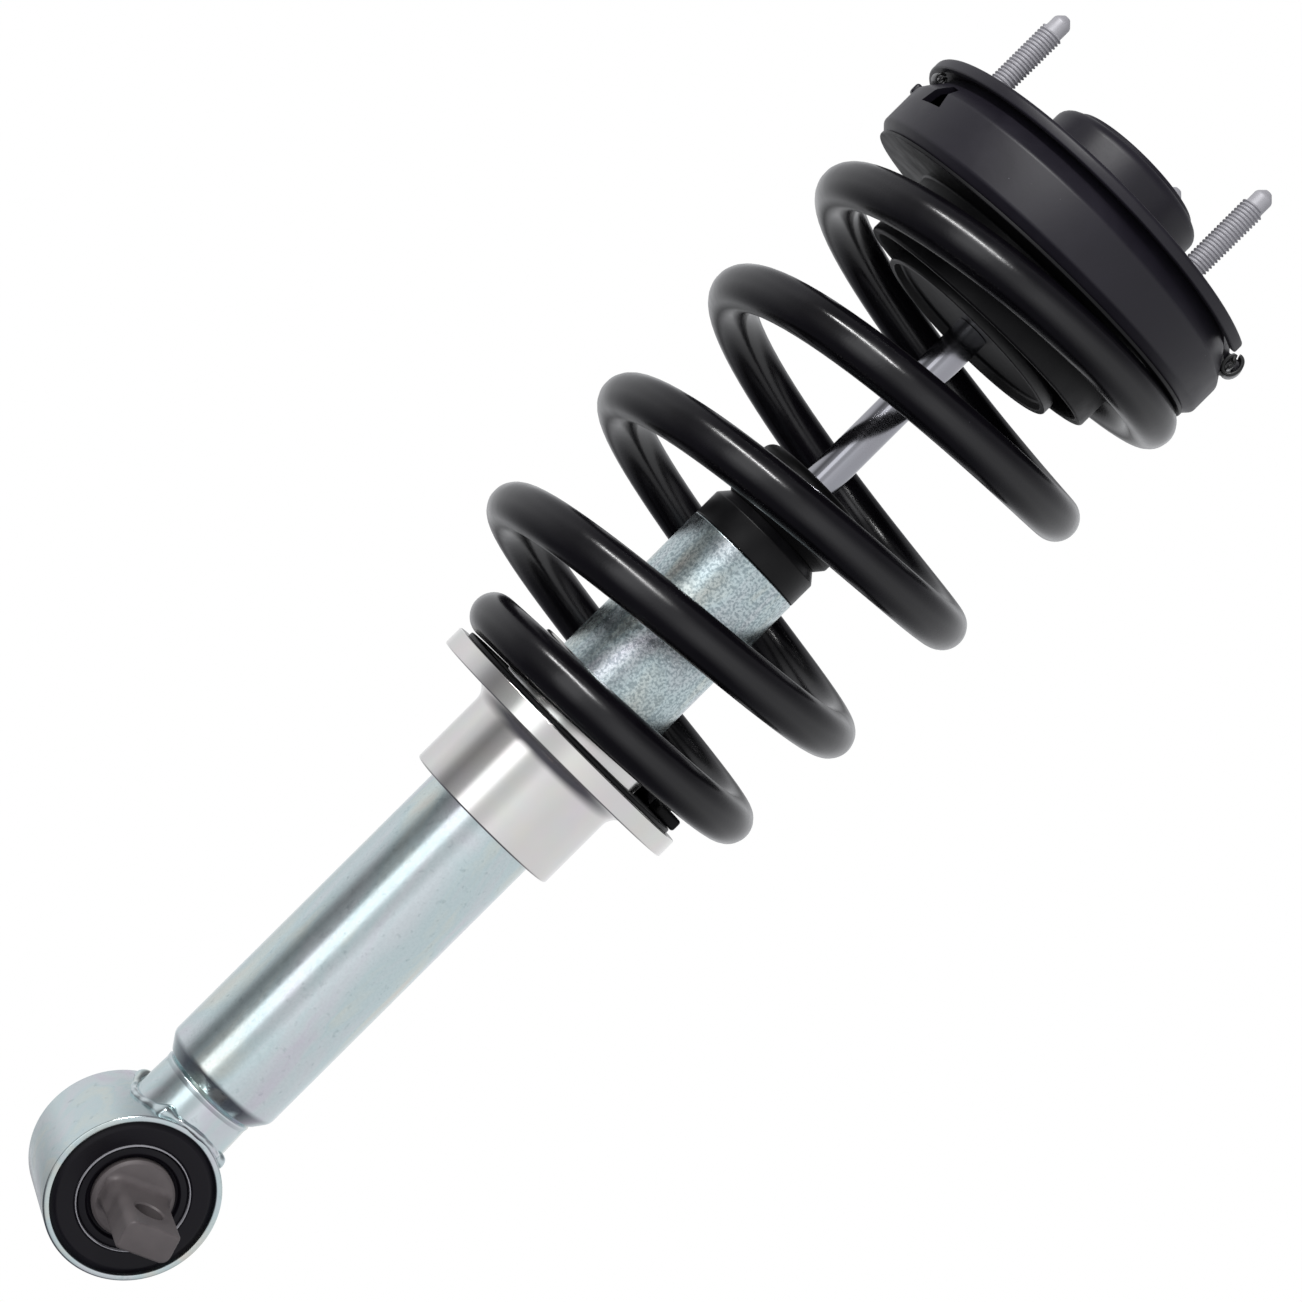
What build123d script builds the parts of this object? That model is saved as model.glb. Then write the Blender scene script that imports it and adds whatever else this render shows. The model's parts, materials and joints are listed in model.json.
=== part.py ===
from build123d import *
import os
from math import cos, hypot, radians, sin, tan

# Coil-over front strut of a pick-up truck, millimetres and degrees.
# Origin: centre of the stud circle, on the top face of the mount plate.
# +Z runs up along the strut's axis, and the eye at the bottom lies along Y.

# ---------------------------------------------------------------- driving dimensions
EYE_DROP = 517.4                # plate's top face down to the centre of the eye

PLATE_R = 81.7
PLATE_T = 3.2
PLATE_LIP = 5.1                 # height of the turned-down rim
STUD_CIRCLE_R = 60.0
STUD_FIRST = 48.9               # angle of the first stud about +Z
STUD_COUNT = 3
STUD_R = 4.9                    # M10, over the thread
STUD_SHANK_R = 5.3              # knurled shank pressed into the plate
STUD_HEAD_R = 8.0
STUD_HEAD_T = 2.4
STUD_POINT_R = 3.95             # smooth lead-in point
STUD_POINT_LENGTH = 6.6
STUD_TOP = 43.6
DOME_R = 35.7
DOME_TOP = 24.1
CROWN_R = 29.8                  # raised middle of the dome
CROWN_STEP = 1.7
SHEET = 2.5                     # wall of the pressed housings
HOUSING_FLANGE_R = 44.0         # flange where the two housings are welded

SEAT_R = 80.6                   # drum that holds the spring's top end
SEAT_WALL = 3.0
SEAT_SHOULDER_Z = -14.4
SEAT_NECK_R = 73.0
SEAT_PLANE_Z = -31.9            # height of the tilted seat plane on the axis
SEAT_TILT = 3.7
SEAT_RISE = 38.9                # direction in which the seat plane rises
SEAT_BORE_R = 46.0
PILOT_R = 54.5
PILOT_SKIRT = 3.4
PILOT_DROP = 29.6

ROD_R = 7.0
ROD_SHOULDER_Z = -62.9
ROD_TOP_R = 6.0
ROD_TOP_Z = 19.0
ROD_END_R = 5.0
CUP_R = 41.3
CUP_RIM_Z = -66.7

TUBE_R = 25.4
BORE_R = 23.0
TUBE_TOP_Z = -186.4
TUBE_SHOULDER_Z = -464.7
TUBE_BOTTOM_Z = -471.6
NECK_R = 20.9

HUB_R = 33.9
HUB_BOTTOM_Z = -326.8
FLANGE_R = 57.3
FLANGE_BOTTOM_Z = -289.0
FLANGE_TOP_Z = -280.8
COLLAR_TOP_Z = -257.4
PAD_T = 1.8

BUMP_TOP_Z = -146.4
BUMP_GROOVE_Z = -171.4

EYE_R = 33.6
EYE_WALL = 2.5
EYE_LENGTH = 44.3
BARREL_R = 15.7
BARREL_HALF = 23.0
BAR_HALF = 59.0
BLADE_W = 21.0
BLADE_T = 12.2
BAR_HOLE_R = 5.75
BAR_HOLE_Y = 44.0
BAR_TWIST = 18.2                # turn of the flats about the eye's axis

WIRE_R = 9.25
COIL_R = 73.0
END_COIL_R = 50.0
COIL_PITCH = 59.0
COIL_START = -0.417             # turns, counted from the side opposite the stop
COIL_END = 4.86
COIL_ZERO_ANGLE = 156.2
COIL_BOW = 2.9                  # sideways bow of the free coils

PISTON_Z = -231.0               # top face of the piston at full extension
SEPARATOR_Z = -398.0            # top face of the floating piston at full extension
FIT = 0.05                      # radial clearance of a sliding fit

EYE_CENTRE = (0, 0, -EYE_DROP)


# ---------------------------------------------------------------- helpers
def turned(*outline):
    """Solid of revolution about Z from (radius, height) points."""
    wire = Polyline(*[(r, 0, z) for r, z in outline], close=True)
    return revolve(make_face(wire), Axis.Z, 360)


def ring(inner, outer, low, high):
    """Plain ring, or a disc when the inner radius is 0."""
    return turned((inner, low), (outer, low), (outer, high), (inner, high))


def torus(major, minor, height):
    """Round ring lying flat at a height."""
    return Pos(0, 0, height) * Torus(major, minor)


def circles(solid, radius, height):
    """Circular edges of a solid with this radius at this height."""
    found = solid.edges().filter_by(GeomType.CIRCLE)
    return found.filter_by(lambda e: hypot(e.radius - radius, e.arc_center.Z - height) < 0.02)


def around(angle, radius, height):
    """Place at an angle about Z, facing outwards along its own X."""
    return Rot(0, 0, angle) * Pos(radius, 0, height)


def hexagon(across_flats, low, high):
    """Hexagonal prism on the axis."""
    outline = RegularPolygon(across_flats / 2, 6, major_radius=False)
    return Pos(0, 0, low) * extrude(outline, high - low)


def tilted(height):
    """Plane parallel to the spring seat that crosses the axis at this height."""
    slope = tan(radians(SEAT_TILT))
    rise = radians(SEAT_RISE)
    return Plane(origin=(0, 0, height), z_dir=(-slope * cos(rise), -slope * sin(rise), 1))


def above(plane):
    """Large block that fills the space above a plane."""
    size = 400
    return plane * (Pos(0, 0, size / 2) * Box(size, size, size))


def smooth(value, start, end):
    """Smooth step from 0 at start to 1 at end."""
    u = min(max((value - start) / (end - start), 0), 1)
    return u * u * (3 - 2 * u)


# ---------------------------------------------------------------- top mount
STUD_ANGLES = [STUD_FIRST + 360 / STUD_COUNT * i for i in range(STUD_COUNT)]
NOTCH_ANGLE = -37.8             # rim notch that a long clip passes through
NOTCH_DEPTH = 8.6
NOTCH_WIDTH = 31.0
WINDOW_ANGLE = 184.2            # triangular drain window in the drum
LONG_CLIP_ANGLE = -31.5
SHORT_CLIP_ANGLES = (68.9, 169.7)


def mount_plate():
    lip_inner = PLATE_R - PLATE_T
    body = turned(
        (DOME_R, 0), (PLATE_R, 0), (PLATE_R, -PLATE_LIP),
        (lip_inner, -PLATE_LIP), (lip_inner, -PLATE_T), (DOME_R, -PLATE_T),
    )
    body = fillet(circles(body, PLATE_R, 0), 1.6)
    for angle in STUD_ANGLES:
        body -= around(angle, STUD_CIRCLE_R, 0) * Cylinder(STUD_SHANK_R, 4 * PLATE_T)
    notch = Box(2 * NOTCH_DEPTH, NOTCH_WIDTH, 4 * PLATE_LIP)
    return body - around(NOTCH_ANGLE, PLATE_R, 0) * notch


def isolator_housing():
    """Pressed dome that stands up through the plate, with a flange under it."""
    shoulder = DOME_TOP - CROWN_STEP
    corner = 4.6
    body = turned(
        (0, DOME_TOP), (CROWN_R, DOME_TOP), (CROWN_R, shoulder), (DOME_R, shoulder),
        (DOME_R, -PLATE_T), (HOUSING_FLANGE_R, -PLATE_T), (HOUSING_FLANGE_R, -PLATE_T - SHEET),
        (DOME_R - SHEET, -PLATE_T - SHEET), (DOME_R - SHEET, shoulder - SHEET), (0, shoulder - SHEET),
    )
    body = fillet(circles(body, CROWN_R, DOME_TOP), 0.8)
    body = fillet(circles(body, DOME_R, shoulder), corner)
    return fillet(circles(body, DOME_R - SHEET, shoulder - SHEET), corner - SHEET)


CUP_FLANGE_Z = -PLATE_T - SHEET
ISOLATOR_FLOOR_Z = -29.5


def isolator_cup():
    """Lower half of the isolator's housing, welded to the dome's flange."""
    flange_r = HOUSING_FLANGE_R
    mouth_r = 25.0
    inner = DOME_R - SHEET
    return turned(
        (inner, CUP_FLANGE_Z), (flange_r, CUP_FLANGE_Z), (flange_r, CUP_FLANGE_Z - SHEET),
        (DOME_R, CUP_FLANGE_Z - SHEET), (DOME_R, ISOLATOR_FLOOR_Z), (mouth_r, ISOLATOR_FLOOR_Z),
        (mouth_r, ISOLATOR_FLOOR_Z + SHEET), (inner, ISOLATOR_FLOOR_Z + SHEET),
    )


SLEEVE_R = 9.0
SLEEVE_LOW_Z = -31.0
SLEEVE_HIGH_Z = 5.0
WASHER_T = 3.0


def isolator_rubber():
    outer = DOME_R - SHEET
    body = turned(
        (SLEEVE_R, SLEEVE_LOW_Z), (23.0, SLEEVE_LOW_Z), (24.8, ISOLATOR_FLOOR_Z + SHEET),
        (outer, ISOLATOR_FLOOR_Z + SHEET), (outer, -3.0), (27.0, 1.0),
        (22.0, SLEEVE_HIGH_Z), (SLEEVE_R, SLEEVE_HIGH_Z),
    )
    return fillet(circles(body, 22.0, SLEEVE_HIGH_Z), 1.5)


def rod_sleeve():
    return ring(ROD_TOP_R, SLEEVE_R, SLEEVE_LOW_Z, SLEEVE_HIGH_Z)


def lower_washer():
    return ring(ROD_TOP_R, 20.0, SLEEVE_LOW_Z - WASHER_T, SLEEVE_LOW_Z)


def top_washer():
    body = ring(ROD_TOP_R, 21.0, SLEEVE_HIGH_Z, SLEEVE_HIGH_Z + WASHER_T)
    return chamfer(circles(body, 21.0, SLEEVE_HIGH_Z + WASHER_T), 0.8)


def rod_nut():
    low = SLEEVE_HIGH_Z + WASHER_T
    flange = ring(0, 11.5, low, low + 1.5)
    body = flange + hexagon(18.0, low, low + 10.0)
    return body - ring(0, ROD_TOP_R, low - 1, low + 12)


def mount_studs():
    """Three pressed-in M10 studs with smooth, rounded lead-in points."""
    thread_top = STUD_TOP - STUD_POINT_LENGTH
    nose = STUD_TOP - 2.6
    head_low = -PLATE_T - STUD_HEAD_T
    stud = turned(
        (0, head_low), (STUD_HEAD_R, head_low), (STUD_HEAD_R, -PLATE_T), (STUD_SHANK_R, -PLATE_T),
        (STUD_SHANK_R, -0.3), (STUD_R, -0.1), (STUD_R, thread_top - 0.9),
        (STUD_POINT_R, thread_top), (STUD_POINT_R, nose), (1.6, STUD_TOP), (0, STUD_TOP),
    )
    stud = fillet(circles(stud, STUD_POINT_R, nose), 1.8)
    return Compound([around(a, STUD_CIRCLE_R, 0) * stud for a in STUD_ANGLES])


# ---------------------------------------------------------------- upper spring seat
def upper_spring_seat():
    """Drum under the plate: a ring channel whose floor is tilted to the spring's load line."""
    low = SEAT_PLANE_Z - 20         # below the tilted cut
    inner = SEAT_BORE_R
    wall = SEAT_WALL
    outside = turned(
        (inner, low), (SEAT_R, low), (SEAT_R, SEAT_SHOULDER_Z),
        (SEAT_NECK_R, -PLATE_T), (inner, -PLATE_T),
    )
    outside = fillet(circles(outside, SEAT_R, SEAT_SHOULDER_Z), 3.0)
    hollow = turned(
        (inner + wall, low), (SEAT_R - wall, low), (SEAT_R - wall, SEAT_SHOULDER_Z),
        (SEAT_NECK_R - wall, -PLATE_T), (inner + wall, -PLATE_T),
    )
    drum = outside & above(tilted(SEAT_PLANE_Z))
    floor = drum.faces().sort_by(Axis.Z)[0]
    rim = floor.edges().sort_by(SortBy.LENGTH)[-1]
    drum = chamfer(rim, 3.2)
    drum -= hollow & above(tilted(SEAT_PLANE_Z + wall))
    outline = Polygon((-6.0, -20.0), (6.0, -20.0), (1.0, -8.5), (-1.0, -8.5), align=None)
    window = Plane.YZ * Pos(0, 0, SEAT_R - 10) * extrude(outline, 14)
    return drum - Rot(0, 0, WINDOW_ANGLE) * window


def hooked_strap(height, depth, strap, width):
    """Strap end curled into an oval hook with its mouth towards the drum."""
    outside = SlotOverall(height, depth, rotation=90)
    loop = outside - SlotOverall(height - 2 * strap, depth - 2 * strap, rotation=90)
    mouth = Pos(-depth / 2, -height / 4) * Rectangle(depth, height / 5)
    profile = Plane.XZ * (loop - mouth)
    return extrude(profile, width / 2, both=True)


def seat_clips():
    """Spring-steel hooks that hold the drum to the plate until the strut is bolted in."""
    long_clip = around(LONG_CLIP_ANGLE, 80.8, -3.2) * hooked_strap(12.0, 8.2, 1.8, 7.0)
    short = hooked_strap(5.8, 5.0, 1.4, 7.0)
    low = -PLATE_LIP - 3.1
    clips = [long_clip] + [around(a, 80.0, low) * short for a in SHORT_CLIP_ANGLES]
    return Compound([piece for clip in clips for piece in clip.solids()])


def upper_spring_pad():
    """Rubber ring between drum and coil, with a pilot skirt down inside the coil."""
    thickness = 1.4
    frame = tilted(SEAT_PLANE_Z)
    pilot_in = PILOT_R - PILOT_SKIRT
    body = turned(
        (pilot_in, -PILOT_DROP), (PILOT_R, -PILOT_DROP), (PILOT_R, -thickness),
        (78.0, -thickness), (78.0, 0), (pilot_in, 0),
    )
    body = fillet(circles(body, PILOT_R, -PILOT_DROP), 1.2)
    return frame * body


# ---------------------------------------------------------------- rod and piston
def piston_rod():
    end_z = PISTON_Z - 26.5
    body = turned(
        (0, end_z), (ROD_END_R, end_z), (ROD_END_R, PISTON_Z + 3.0), (ROD_R, PISTON_Z + 3.0),
        (ROD_R, ROD_SHOULDER_Z), (ROD_TOP_R, ROD_SHOULDER_Z), (ROD_TOP_R, ROD_TOP_Z),
        (0, ROD_TOP_Z),
    )
    return chamfer(circles(body, ROD_TOP_R, ROD_TOP_Z), 1.0)


def rod_spacer():
    return ring(ROD_TOP_R, 9.5, ROD_SHOULDER_Z + SHEET, SLEEVE_LOW_Z - WASHER_T)


def striker_cup():
    """Inverted steel cup that catches the bump stop."""
    top = ROD_SHOULDER_Z + SHEET
    body = turned(
        (ROD_TOP_R, ROD_SHOULDER_Z), (CUP_R - SHEET, ROD_SHOULDER_Z), (CUP_R - SHEET, CUP_RIM_Z),
        (CUP_R, CUP_RIM_Z), (CUP_R, top), (ROD_TOP_R, top),
    )
    return fillet(circles(body, CUP_R, top), 2.2)


GUIDE_LOW_Z = -212.0
GUIDE_HIGH_Z = -196.0


def rebound_stop():
    body = ring(ROD_R, 12.0, GUIDE_LOW_Z - 6.3, GUIDE_LOW_Z - 0.3)
    return fillet(circles(body, 12.0, GUIDE_LOW_Z - 0.3), 1.2)


def rebound_stop_plate():
    return ring(ROD_R, 15.0, GUIDE_LOW_Z - 8.3, GUIDE_LOW_Z - 6.3)


def shim_stack(start, step, count, radii):
    """Thin discs clamped together, each one smaller than the last."""
    stack = ring(ROD_END_R, radii[0], min(start, start + step), max(start, start + step))
    for i in range(1, count):
        low = start + step * i
        outer = radii[0] + (radii[1] - radii[0]) * i / (count - 1)
        stack += ring(ROD_END_R, outer, min(low, low + step), max(low, low + step))
    return stack


PISTON_H = 15.0


def rebound_shims():
    return shim_stack(PISTON_Z, 0.5, 6, (17.0, 9.0))


def piston():
    """Sintered piston with a band groove and six ports each way."""
    low = PISTON_Z - PISTON_H
    land = BORE_R - 0.4
    groove = 21.4
    body = turned(
        (ROD_END_R, low), (land, low), (land, low + 2.5), (groove, low + 2.5),
        (groove, PISTON_Z - 2.5), (land, PISTON_Z - 2.5), (land, PISTON_Z), (ROD_END_R, PISTON_Z),
    )
    port = Cylinder(2.0, 4 * PISTON_H)
    for i in range(6):
        body -= around(60 * i, 14.0, low) * port
        body -= around(60 * i + 30, 18.4, low) * Cylinder(1.4, 4 * PISTON_H)
    return body


def piston_band():
    return ring(21.4, BORE_R - FIT, PISTON_Z - PISTON_H + 2.6, PISTON_Z - 2.6)


def compression_shims():
    return shim_stack(PISTON_Z - PISTON_H, -0.5, 6, (20.0, 10.0))


def piston_nut():
    top = PISTON_Z - PISTON_H - 3.0
    return hexagon(17.0, top - 7.0, top) - ring(0, ROD_END_R, top - 9, top + 2)


# ---------------------------------------------------------------- coil spring
COIL_LOW_Z = FLANGE_TOP_Z + PAD_T + WIRE_R


def coil_radius(turn):
    return END_COIL_R + (COIL_R - END_COIL_R) * smooth(turn, -0.12, 0.78)


def coil_climb(turn):
    """Height gained from the flat end coil: the pitch fades in and out again."""
    steps = 200
    gained = 0.0
    for i in range(steps):
        t = COIL_START + (turn - COIL_START) * (i + 0.5) / steps
        pitch = COIL_PITCH * smooth(t, -0.3, 1.2) * (1 - smooth(t, 4.1, 4.5))
        gained += pitch * (turn - COIL_START) / steps
    return gained


def coil_point(turn):
    """Centre of the wire, a right-handed coil with a small-diameter bottom end."""
    angle = radians(COIL_ZERO_ANGLE + 360 * turn)
    radius = coil_radius(turn)
    bow = COIL_BOW * smooth(turn, 0.0, 1.0) * (1 - smooth(turn, 0.8, 4.6))
    bow_way = radians(COIL_ZERO_ANGLE)
    x = radius * cos(angle) + bow * cos(bow_way)
    y = radius * sin(angle) + bow * sin(bow_way)
    lean = x * cos(radians(SEAT_RISE)) + y * sin(radians(SEAT_RISE))
    seat_rise = lean * tan(radians(SEAT_TILT)) * smooth(turn, 3.2, 4.45)
    body_rise = 0.022 * (x * cos(bow_way) + y * sin(bow_way)) * smooth(turn, 0.2, 1.2)
    body_rise *= 1 - smooth(turn, 3.2, 4.45)
    return (x, y, COIL_LOW_Z + coil_climb(turn) + seat_rise + body_rise)


def coil_spring():
    per_turn = 16
    count = round((COIL_END - COIL_START) * per_turn)
    turns = [COIL_START + (COIL_END - COIL_START) * i / count for i in range(count + 1)]
    centre_line = Spline(*[coil_point(t) for t in turns])
    section = Plane(origin=centre_line @ 0, z_dir=centre_line % 0) * Circle(WIRE_R)
    return sweep(section, path=centre_line, is_frenet=False)


# ---------------------------------------------------------------- damper body
PERCH_RING_Z = -324.0


def damper_tube():
    """Deep-drawn monotube with a closed, rounded bottom."""
    floor = TUBE_BOTTOM_Z + 4.2
    groove = 0.8
    ring_low = GUIDE_HIGH_Z + 0.1
    body = turned(
        (0, TUBE_BOTTOM_Z), (NECK_R, TUBE_BOTTOM_Z), (TUBE_R, TUBE_SHOULDER_Z), (TUBE_R, TUBE_TOP_Z),
        (BORE_R, TUBE_TOP_Z), (BORE_R, floor + 4), (BORE_R - 5, floor), (0, floor),
    )
    body = fillet(circles(body, TUBE_R, TUBE_SHOULDER_Z), 6.0)
    body -= ring(TUBE_R - groove, TUBE_R + 1, PERCH_RING_Z - 1.15, PERCH_RING_Z + 1.15)
    return body - ring(BORE_R - 1, BORE_R + groove, ring_low, ring_low + 2.0)


def eye_neck():
    """Forged saddle between the tube's floor and the eye."""
    body = ring(0, NECK_R, -EYE_DROP, TUBE_BOTTOM_Z)
    return body - Pos(*EYE_CENTRE) * Rot(90, 0, 0) * Cylinder(EYE_R, 3 * EYE_LENGTH)


def eye_weld():
    """Weld bead in the corner that runs along the saddle line between neck and eye."""
    leg = 2.6
    lie = Pos(*EYE_CENTRE) * Rot(90, 0, 0)
    reach = EYE_LENGTH + 2
    beside_neck = ring(NECK_R, NECK_R + leg, -EYE_DROP, TUBE_BOTTOM_Z)
    return (beside_neck & lie * Cylinder(EYE_R + leg, reach)) - lie * Cylinder(EYE_R, 2 * reach)


def across(solid):
    """Turn a solid made on Z to lie along Y through the eye."""
    return Pos(*EYE_CENTRE) * Rot(90, 0, 0) * solid


def eye_ring():
    half = EYE_LENGTH / 2
    body = ring(EYE_R - EYE_WALL, EYE_R, -half, half)
    for side in (-half, half):
        body = chamfer(circles(body, EYE_R, side), 0.6)
    return across(body)


def bush_rubber():
    """Moulded rubber bush with a shallow groove in each end face."""
    half = EYE_LENGTH / 2 - 0.4
    inner = BARREL_R + FIT
    outer = EYE_R - EYE_WALL
    return across(turned(
        (inner, -half), (17.5, -half), (18.6, -half + 2.2), (20.4, -half + 2.2), (21.4, -half),
        (outer, -half), (outer, half), (21.4, half), (20.4, half - 2.2), (18.6, half - 2.2),
        (17.5, half), (inner, half),
    ))


def bar_pin():
    """Forged cross bar: round barrel in the bush, flattened and drilled ends."""
    ramp_end = 33.0
    body = Cylinder(BARREL_R, 2 * BARREL_HALF)
    body = chamfer(body.edges().filter_by(GeomType.CIRCLE), 1.2)
    blade_length = BAR_HALF - ramp_end
    blade_outline = RectangleRounded(BLADE_W, BLADE_T, 2.0)
    for side in (1, -1):
        start = Plane(origin=(0, 0, side * (BARREL_HALF - 2)), z_dir=(0, 0, side)) * Circle(13.0)
        end_plane = Plane(origin=(0, 0, side * ramp_end), x_dir=(1, 0, 0), z_dir=(0, 0, side))
        end = end_plane * blade_outline
        body += loft([start.face(), end.face()])
        blade = extrude(end, blade_length)
        tip = blade.faces().sort_by(Axis.Z)[-1 if side > 0 else 0]
        body += fillet(tip.edges().filter_by(Axis.Y), 4.0)
    for side in (1, -1):
        body -= Pos(0, 0, side * BAR_HOLE_Y) * Rot(90, 0, 0) * Cylinder(BAR_HOLE_R, 60)
    return Pos(*EYE_CENTRE) * Rot(0, -BAR_TWIST, 0) * Rot(90, 0, 0) * body


def lower_spring_perch():
    """Aluminium perch turned from bar, with a spring flange and a centring collar."""
    bore = TUBE_R + 0.02
    recess = 27.0
    body = turned(
        (recess, HUB_BOTTOM_Z), (HUB_R, HUB_BOTTOM_Z), (HUB_R, FLANGE_BOTTOM_Z),
        (FLANGE_R, FLANGE_BOTTOM_Z), (FLANGE_R, FLANGE_TOP_Z), (HUB_R, FLANGE_TOP_Z),
        (HUB_R, COLLAR_TOP_Z), (bore, COLLAR_TOP_Z), (bore, HUB_BOTTOM_Z + 4),
        (recess, HUB_BOTTOM_Z + 4),
    )
    body = fillet(circles(body, HUB_R, FLANGE_BOTTOM_Z), 6.5)
    body = chamfer(circles(body, HUB_R, HUB_BOTTOM_Z), 1.0)
    body = fillet(circles(body, FLANGE_R, FLANGE_TOP_Z), 0.8)
    body = fillet(circles(body, FLANGE_R, FLANGE_BOTTOM_Z), 0.8)
    return fillet(circles(body, HUB_R, COLLAR_TOP_Z), 1.5)


def perch_snap_ring():
    gap = Pos(TUBE_R, 0, PERCH_RING_Z) * Box(10, 5, 6)
    return torus(TUBE_R + 0.3, 1.05, PERCH_RING_Z) - Rot(0, 0, 200) * gap


STOP_ANGLE = -8.0


def lower_spring_pad():
    """Rubber pad on the flange, with a stop that the wire's end butts against."""
    outer = 53.0
    inner = HUB_R + 1.2
    body = ring(inner, outer, FLANGE_TOP_Z, FLANGE_TOP_Z + PAD_T)
    sector = Rot(0, 0, STOP_ANGLE) * (Pos(50.0, 0, FLANGE_TOP_Z + 3.4) * Box(11.0, 12.0, 6.8))
    return body + sector


def rod_guide():
    """Aluminium head that closes the tube and carries the rod's bush and seal."""
    outer = BORE_R - 0.02
    body = turned(
        (8.5, GUIDE_LOW_Z), (outer, GUIDE_LOW_Z), (outer, GUIDE_HIGH_Z), (13.0, GUIDE_HIGH_Z),
        (13.0, GUIDE_HIGH_Z - 7), (8.5, GUIDE_HIGH_Z - 7),
    )
    return body - ring(20.6, outer + 1, -206.3, -203.7)


def guide_o_ring():
    return torus(21.8, 1.15, -205.0)


def guide_snap_ring():
    low = GUIDE_HIGH_Z + 0.1
    return ring(20.5, BORE_R + 0.7, low, low + 2.0) - Pos(22, 0, low) * Box(8, 5, 6)


def rod_bush():
    return ring(ROD_R + FIT, 8.5, GUIDE_LOW_Z, GUIDE_LOW_Z + 8.8)


def rod_seal():
    return ring(ROD_R + FIT, 13.0, GUIDE_HIGH_Z - 6.9, GUIDE_HIGH_Z - 0.2)


CAP_BORE_R = 8.2
CAP_TOP_Z = BUMP_GROOVE_Z


def tube_cap():
    """Black cap that closes the tube's mouth and carries the bump stop."""
    groove_r = 22.0
    plug_r = BORE_R - 0.1
    return turned(
        (12.0, TUBE_TOP_Z - 6), (plug_r, TUBE_TOP_Z - 6), (plug_r, TUBE_TOP_Z), (TUBE_R, TUBE_TOP_Z),
        (TUBE_R, TUBE_TOP_Z + 11), (groove_r, CAP_TOP_Z), (CAP_BORE_R, CAP_TOP_Z),
        (CAP_BORE_R, TUBE_TOP_Z + 1), (12.0, TUBE_TOP_Z + 1),
    )


def rod_wiper():
    return turned(
        (ROD_R + FIT, TUBE_TOP_Z - 5), (12.0, TUBE_TOP_Z - 5), (12.0, TUBE_TOP_Z + 1),
        (9.0, TUBE_TOP_Z + 1), (ROD_R + FIT, TUBE_TOP_Z - 1),
    )


def bump_stop():
    """Microcellular bumper that stands on the tube's cap around the rod."""
    waist = 22.0
    body = turned(
        (CAP_BORE_R, BUMP_GROOVE_Z), (waist, BUMP_GROOVE_Z), (25.0, BUMP_GROOVE_Z + 3.5),
        (25.3, BUMP_GROOVE_Z + 8), (24.6, BUMP_TOP_Z), (CAP_BORE_R, BUMP_TOP_Z),
    )
    return fillet(circles(body, 24.6, BUMP_TOP_Z), 5.0)


def floating_piston():
    """Cup-shaped divider between the oil and the gas."""
    height = 20.0
    low = SEPARATOR_Z - height
    outer = BORE_R - FIT
    body = turned(
        (0, low + 12), (16.0, low + 12), (16.0, low), (outer, low),
        (outer, SEPARATOR_Z), (0, SEPARATOR_Z),
    )
    return body - ring(20.15, outer + 1, SEPARATOR_Z - 7.6, SEPARATOR_Z - 4.4)


def floating_piston_seal():
    return torus(21.55, 1.35, SEPARATOR_Z - 6.0)


# ---------------------------------------------------------------- write one STEP per node
NODES = (
    mount_plate, isolator_housing, isolator_cup, isolator_rubber, rod_sleeve, lower_washer,
    top_washer, rod_nut, mount_studs, upper_spring_seat, seat_clips, upper_spring_pad,
    piston_rod, rod_spacer, striker_cup, rebound_stop, rebound_stop_plate, rebound_shims,
    piston, piston_band, compression_shims, piston_nut, coil_spring, damper_tube, eye_neck,
    eye_weld, eye_ring, bush_rubber, bar_pin, lower_spring_perch, perch_snap_ring,
    lower_spring_pad, rod_guide, guide_o_ring, guide_snap_ring, rod_bush, rod_seal,
    tube_cap, rod_wiper, bump_stop, floating_piston, floating_piston_seal,
)

os.makedirs("parts", exist_ok=True)
for make in NODES:
    shape = make()
    shape.label = make.__name__
    export_step(shape, f"parts/{make.__name__}.step")
    print(make.__name__, round(shape.volume / 1000, 2), "cm3")
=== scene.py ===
# %% [markdown]
# # A coil-over front strut
# This file builds the looks of a pick-up truck's front strut around its finished design model.
# The design model gives every size and place; here each visible part gets a finer surface
# and a finish. Read it from the top: every step first says what the part is on the real strut.
# %% Load the frame
import json
from math import atan2, cos, pi, radians, sin, sqrt, tan

import bmesh
import bpy
from mathutils import Matrix, Vector, noise


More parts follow.
